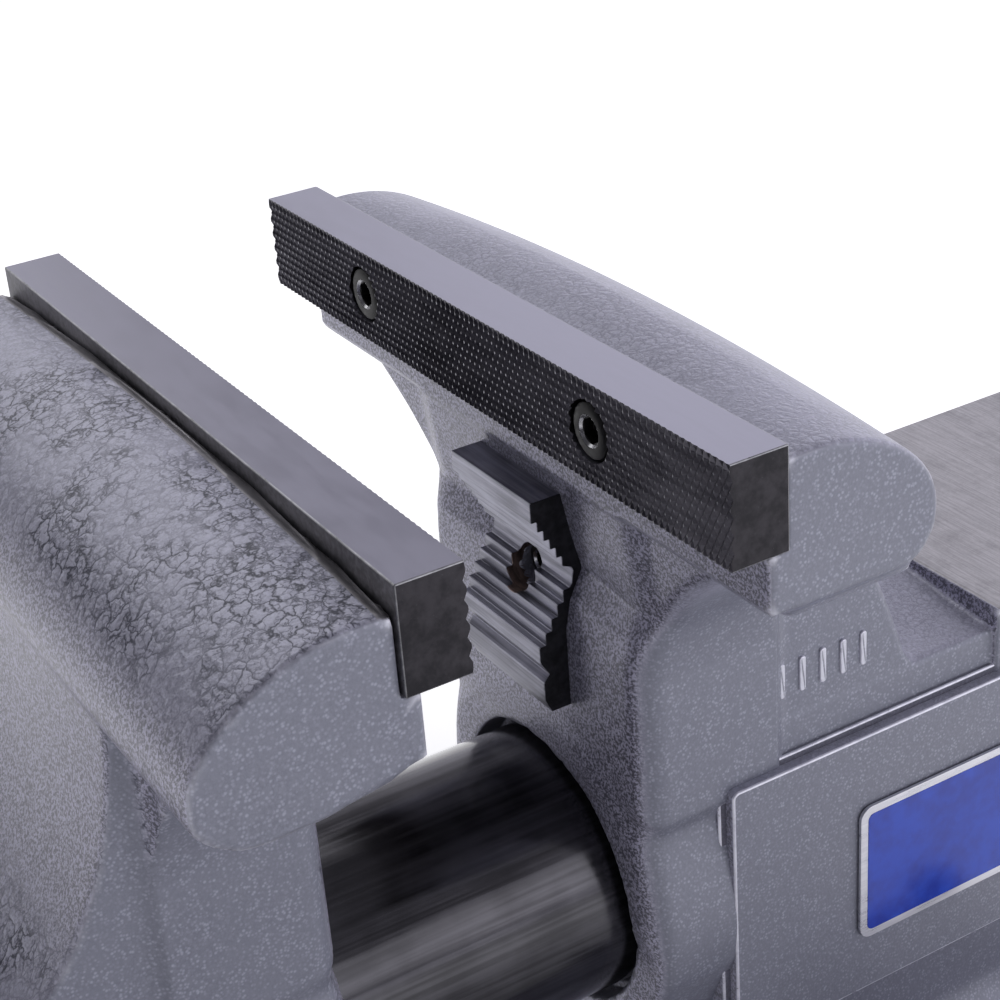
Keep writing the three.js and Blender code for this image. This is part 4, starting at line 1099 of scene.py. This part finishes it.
for side, sign in SIDES:
    x = sign * LOCK_X
    head = finish_piece(block("head", (x - 11, x + 11), (-11, 11), (10.5, 19.5)), 0.8)
    shank = finish_piece(rod("shank", 6, 19, 58, "z", (x, 0)), 0.6)
    stand_for(merge(f"lock_stud_{side}", head, shank), f"lock_bolt_{side}", SCREW)
    washer = ring(f"washer_{side}", 6.5, 15, 44.3, 47, axis="z", at=(x, 0))
    stand_for(finish_piece(washer, 0.4), f"lock_washer_{side}", STEEL)
    nut = turned(f"nut_{side}", [(0, 47.3), (14, 47.3), (14, 50), (12, 52), (12, 76), (11, 78), (9, 79),
                                 (0, 79)], "z", (x, 0))
    carve(nut, rod("hole", 6.4, 40, 59, "z", (x, 0)), rod("cross", 5, -30, 30, "y", (x, LOCK_BAR_Z)))
    stand_for(finish_piece(nut, 0.5), f"lock_nut_{side}", STEEL)
    tommy = hand_bar(f"tommy_{side}", LOCK_BAR_RADIUS, LOCK_BAR_HALF, "y", (x, LOCK_BAR_Z))
    stand_for(tommy, f"lock_bar_{side}", STEEL)
    for end, way in (("rear", 1), ("front", -1)):
        ball = knob(f"tommy_ball_{side}_{end}", way, 7.5, LOCK_BAR_HALF, LOCK_BAR_RADIUS,
                    "y", (x, LOCK_BAR_Z))
        stand_for(ball, f"lock_bar_knob_{side}_{end}", STEEL)


# ---------- camera, lights and floor

CAMERA_PLACE, CAMERA_LENS = (320.3, -249.7, 403.5), 76.03
CAMERA_AZIMUTH, CAMERA_ELEVATION, CAMERA_ROLL = 60.707, 27.488, -4.597


def add_camera():
    azimuth, elevation, roll = (math.radians(v) for v in (CAMERA_AZIMUTH, CAMERA_ELEVATION, CAMERA_ROLL))
    back = Vector((math.sin(azimuth) * math.cos(elevation), -math.cos(azimuth) * math.cos(elevation),
                   math.sin(elevation)))
    right = Vector((0, 0, 1)).cross(back).normalized()
    up = back.cross(right)
    x_axis = math.cos(roll) * right + math.sin(roll) * up
    y_axis = -math.sin(roll) * right + math.cos(roll) * up
    data = bpy.data.cameras.new("camera")
    data.sensor_width = 36
    data.lens = CAMERA_LENS
    data.dof.use_dof = False
    camera = add_object("camera", data)
    rotation = Matrix((x_axis, y_axis, back)).transposed().to_4x4()
    camera.matrix_world = Matrix.Translation(Vector(CAMERA_PLACE) * MM) @ rotation
    bpy.context.scene.camera = camera


FLOOR_HALF, FLOOR_DROP = 60000, 0.5


def add_floor():
    """A wide pale floor that gives off light like lit paper; its glow drops near the vise, a painted shadow
    round the vise.
    """
    material, tree, shader, coord = start_material("floor", Roughness=0.9)
    shader.inputs["Emission Color"].default_value = (1, 1, 1, 1)
    # painted shadow: the floor's glow fades from far off down to a dim pool round the vise
    away = node(tree, "VectorMath", {0: coord.outputs["Object"], 1: (0.12, -0.22, 0)}, operation="DISTANCE")
    shade = noise(tree, coord.outputs["Object"], 3, 1).outputs[0]
    tone = mix(tree, shade, (0.93, 0.93, 0.93), (0.95, 0.95, 0.95))
    feed(tree, shader, Base_Color=tone,
         Emission_Strength=ramp(tree, away.outputs["Value"], 0.15, 0.6, 0.1, 0.72))
    outline = rounded_rectangle((-FLOOR_HALF, -FLOOR_HALF), (FLOOR_HALF, FLOOR_HALF), 5000)
    floor = mesh_object("floor", [(x, y, -FLOOR_DROP) for x, y in outline], [range(len(outline))])
    floor.data.materials.append(material)


def add_light(name, place, target, size, power):
    data = bpy.data.lights.new(name, "AREA")
    data.shape = "RECTANGLE"
    data.size, data.size_y = size
    data.energy = power
    turn = (Vector(target) - Vector(place)).to_track_quat("-Z", "Y").to_matrix().to_4x4()
    add_object(name, data).matrix_world = Matrix.Translation(place) @ turn


def add_world():
    """A soft studio sky: bright low down and behind, like a paper backdrop, and dimmer overhead."""
    world = bpy.data.worlds.new("studio")
    bpy.context.scene.world = world
    world.use_nodes = True
    tree = world.node_tree
    coord = tree.nodes.new("ShaderNodeTexCoord")
    way = node(tree, "SeparateXYZ", {0: coord.outputs["Generated"]})
    low = ramp(tree, way.outputs[2], 0.02, 0.62, 0.8, 0.26, smooth=False)
    behind = ramp(tree, way.outputs[1], -0.5, 0.35, 0.36, 1.0)
    behind = times(tree, behind, ramp(tree, way.outputs[1], 0.32, 0.52, 1.0, 2.2))
    sky = tree.nodes["Background"]
    sky.inputs["Color"].default_value = (0.95, 0.935, 1.03, 1)
    feed(tree, sky, Strength=times(tree, low, behind))


add_camera()
add_floor()
add_world()
add_light("sky", (-0.9, 0.9, 1.9), (0, 0, 0.2), (1.4, 1.0), 1.2)
add_light("far_side", (-0.6, -0.2, 0.8), (0, -0.1, 0.2), (0.7, 0.7), 2.0)
add_light("near_side", (1.2, 0.5, 0.55), (0, 0.05, 0.15), (0.9, 0.6), 1.4)
bpy.context.scene.view_settings.view_transform = "Standard"
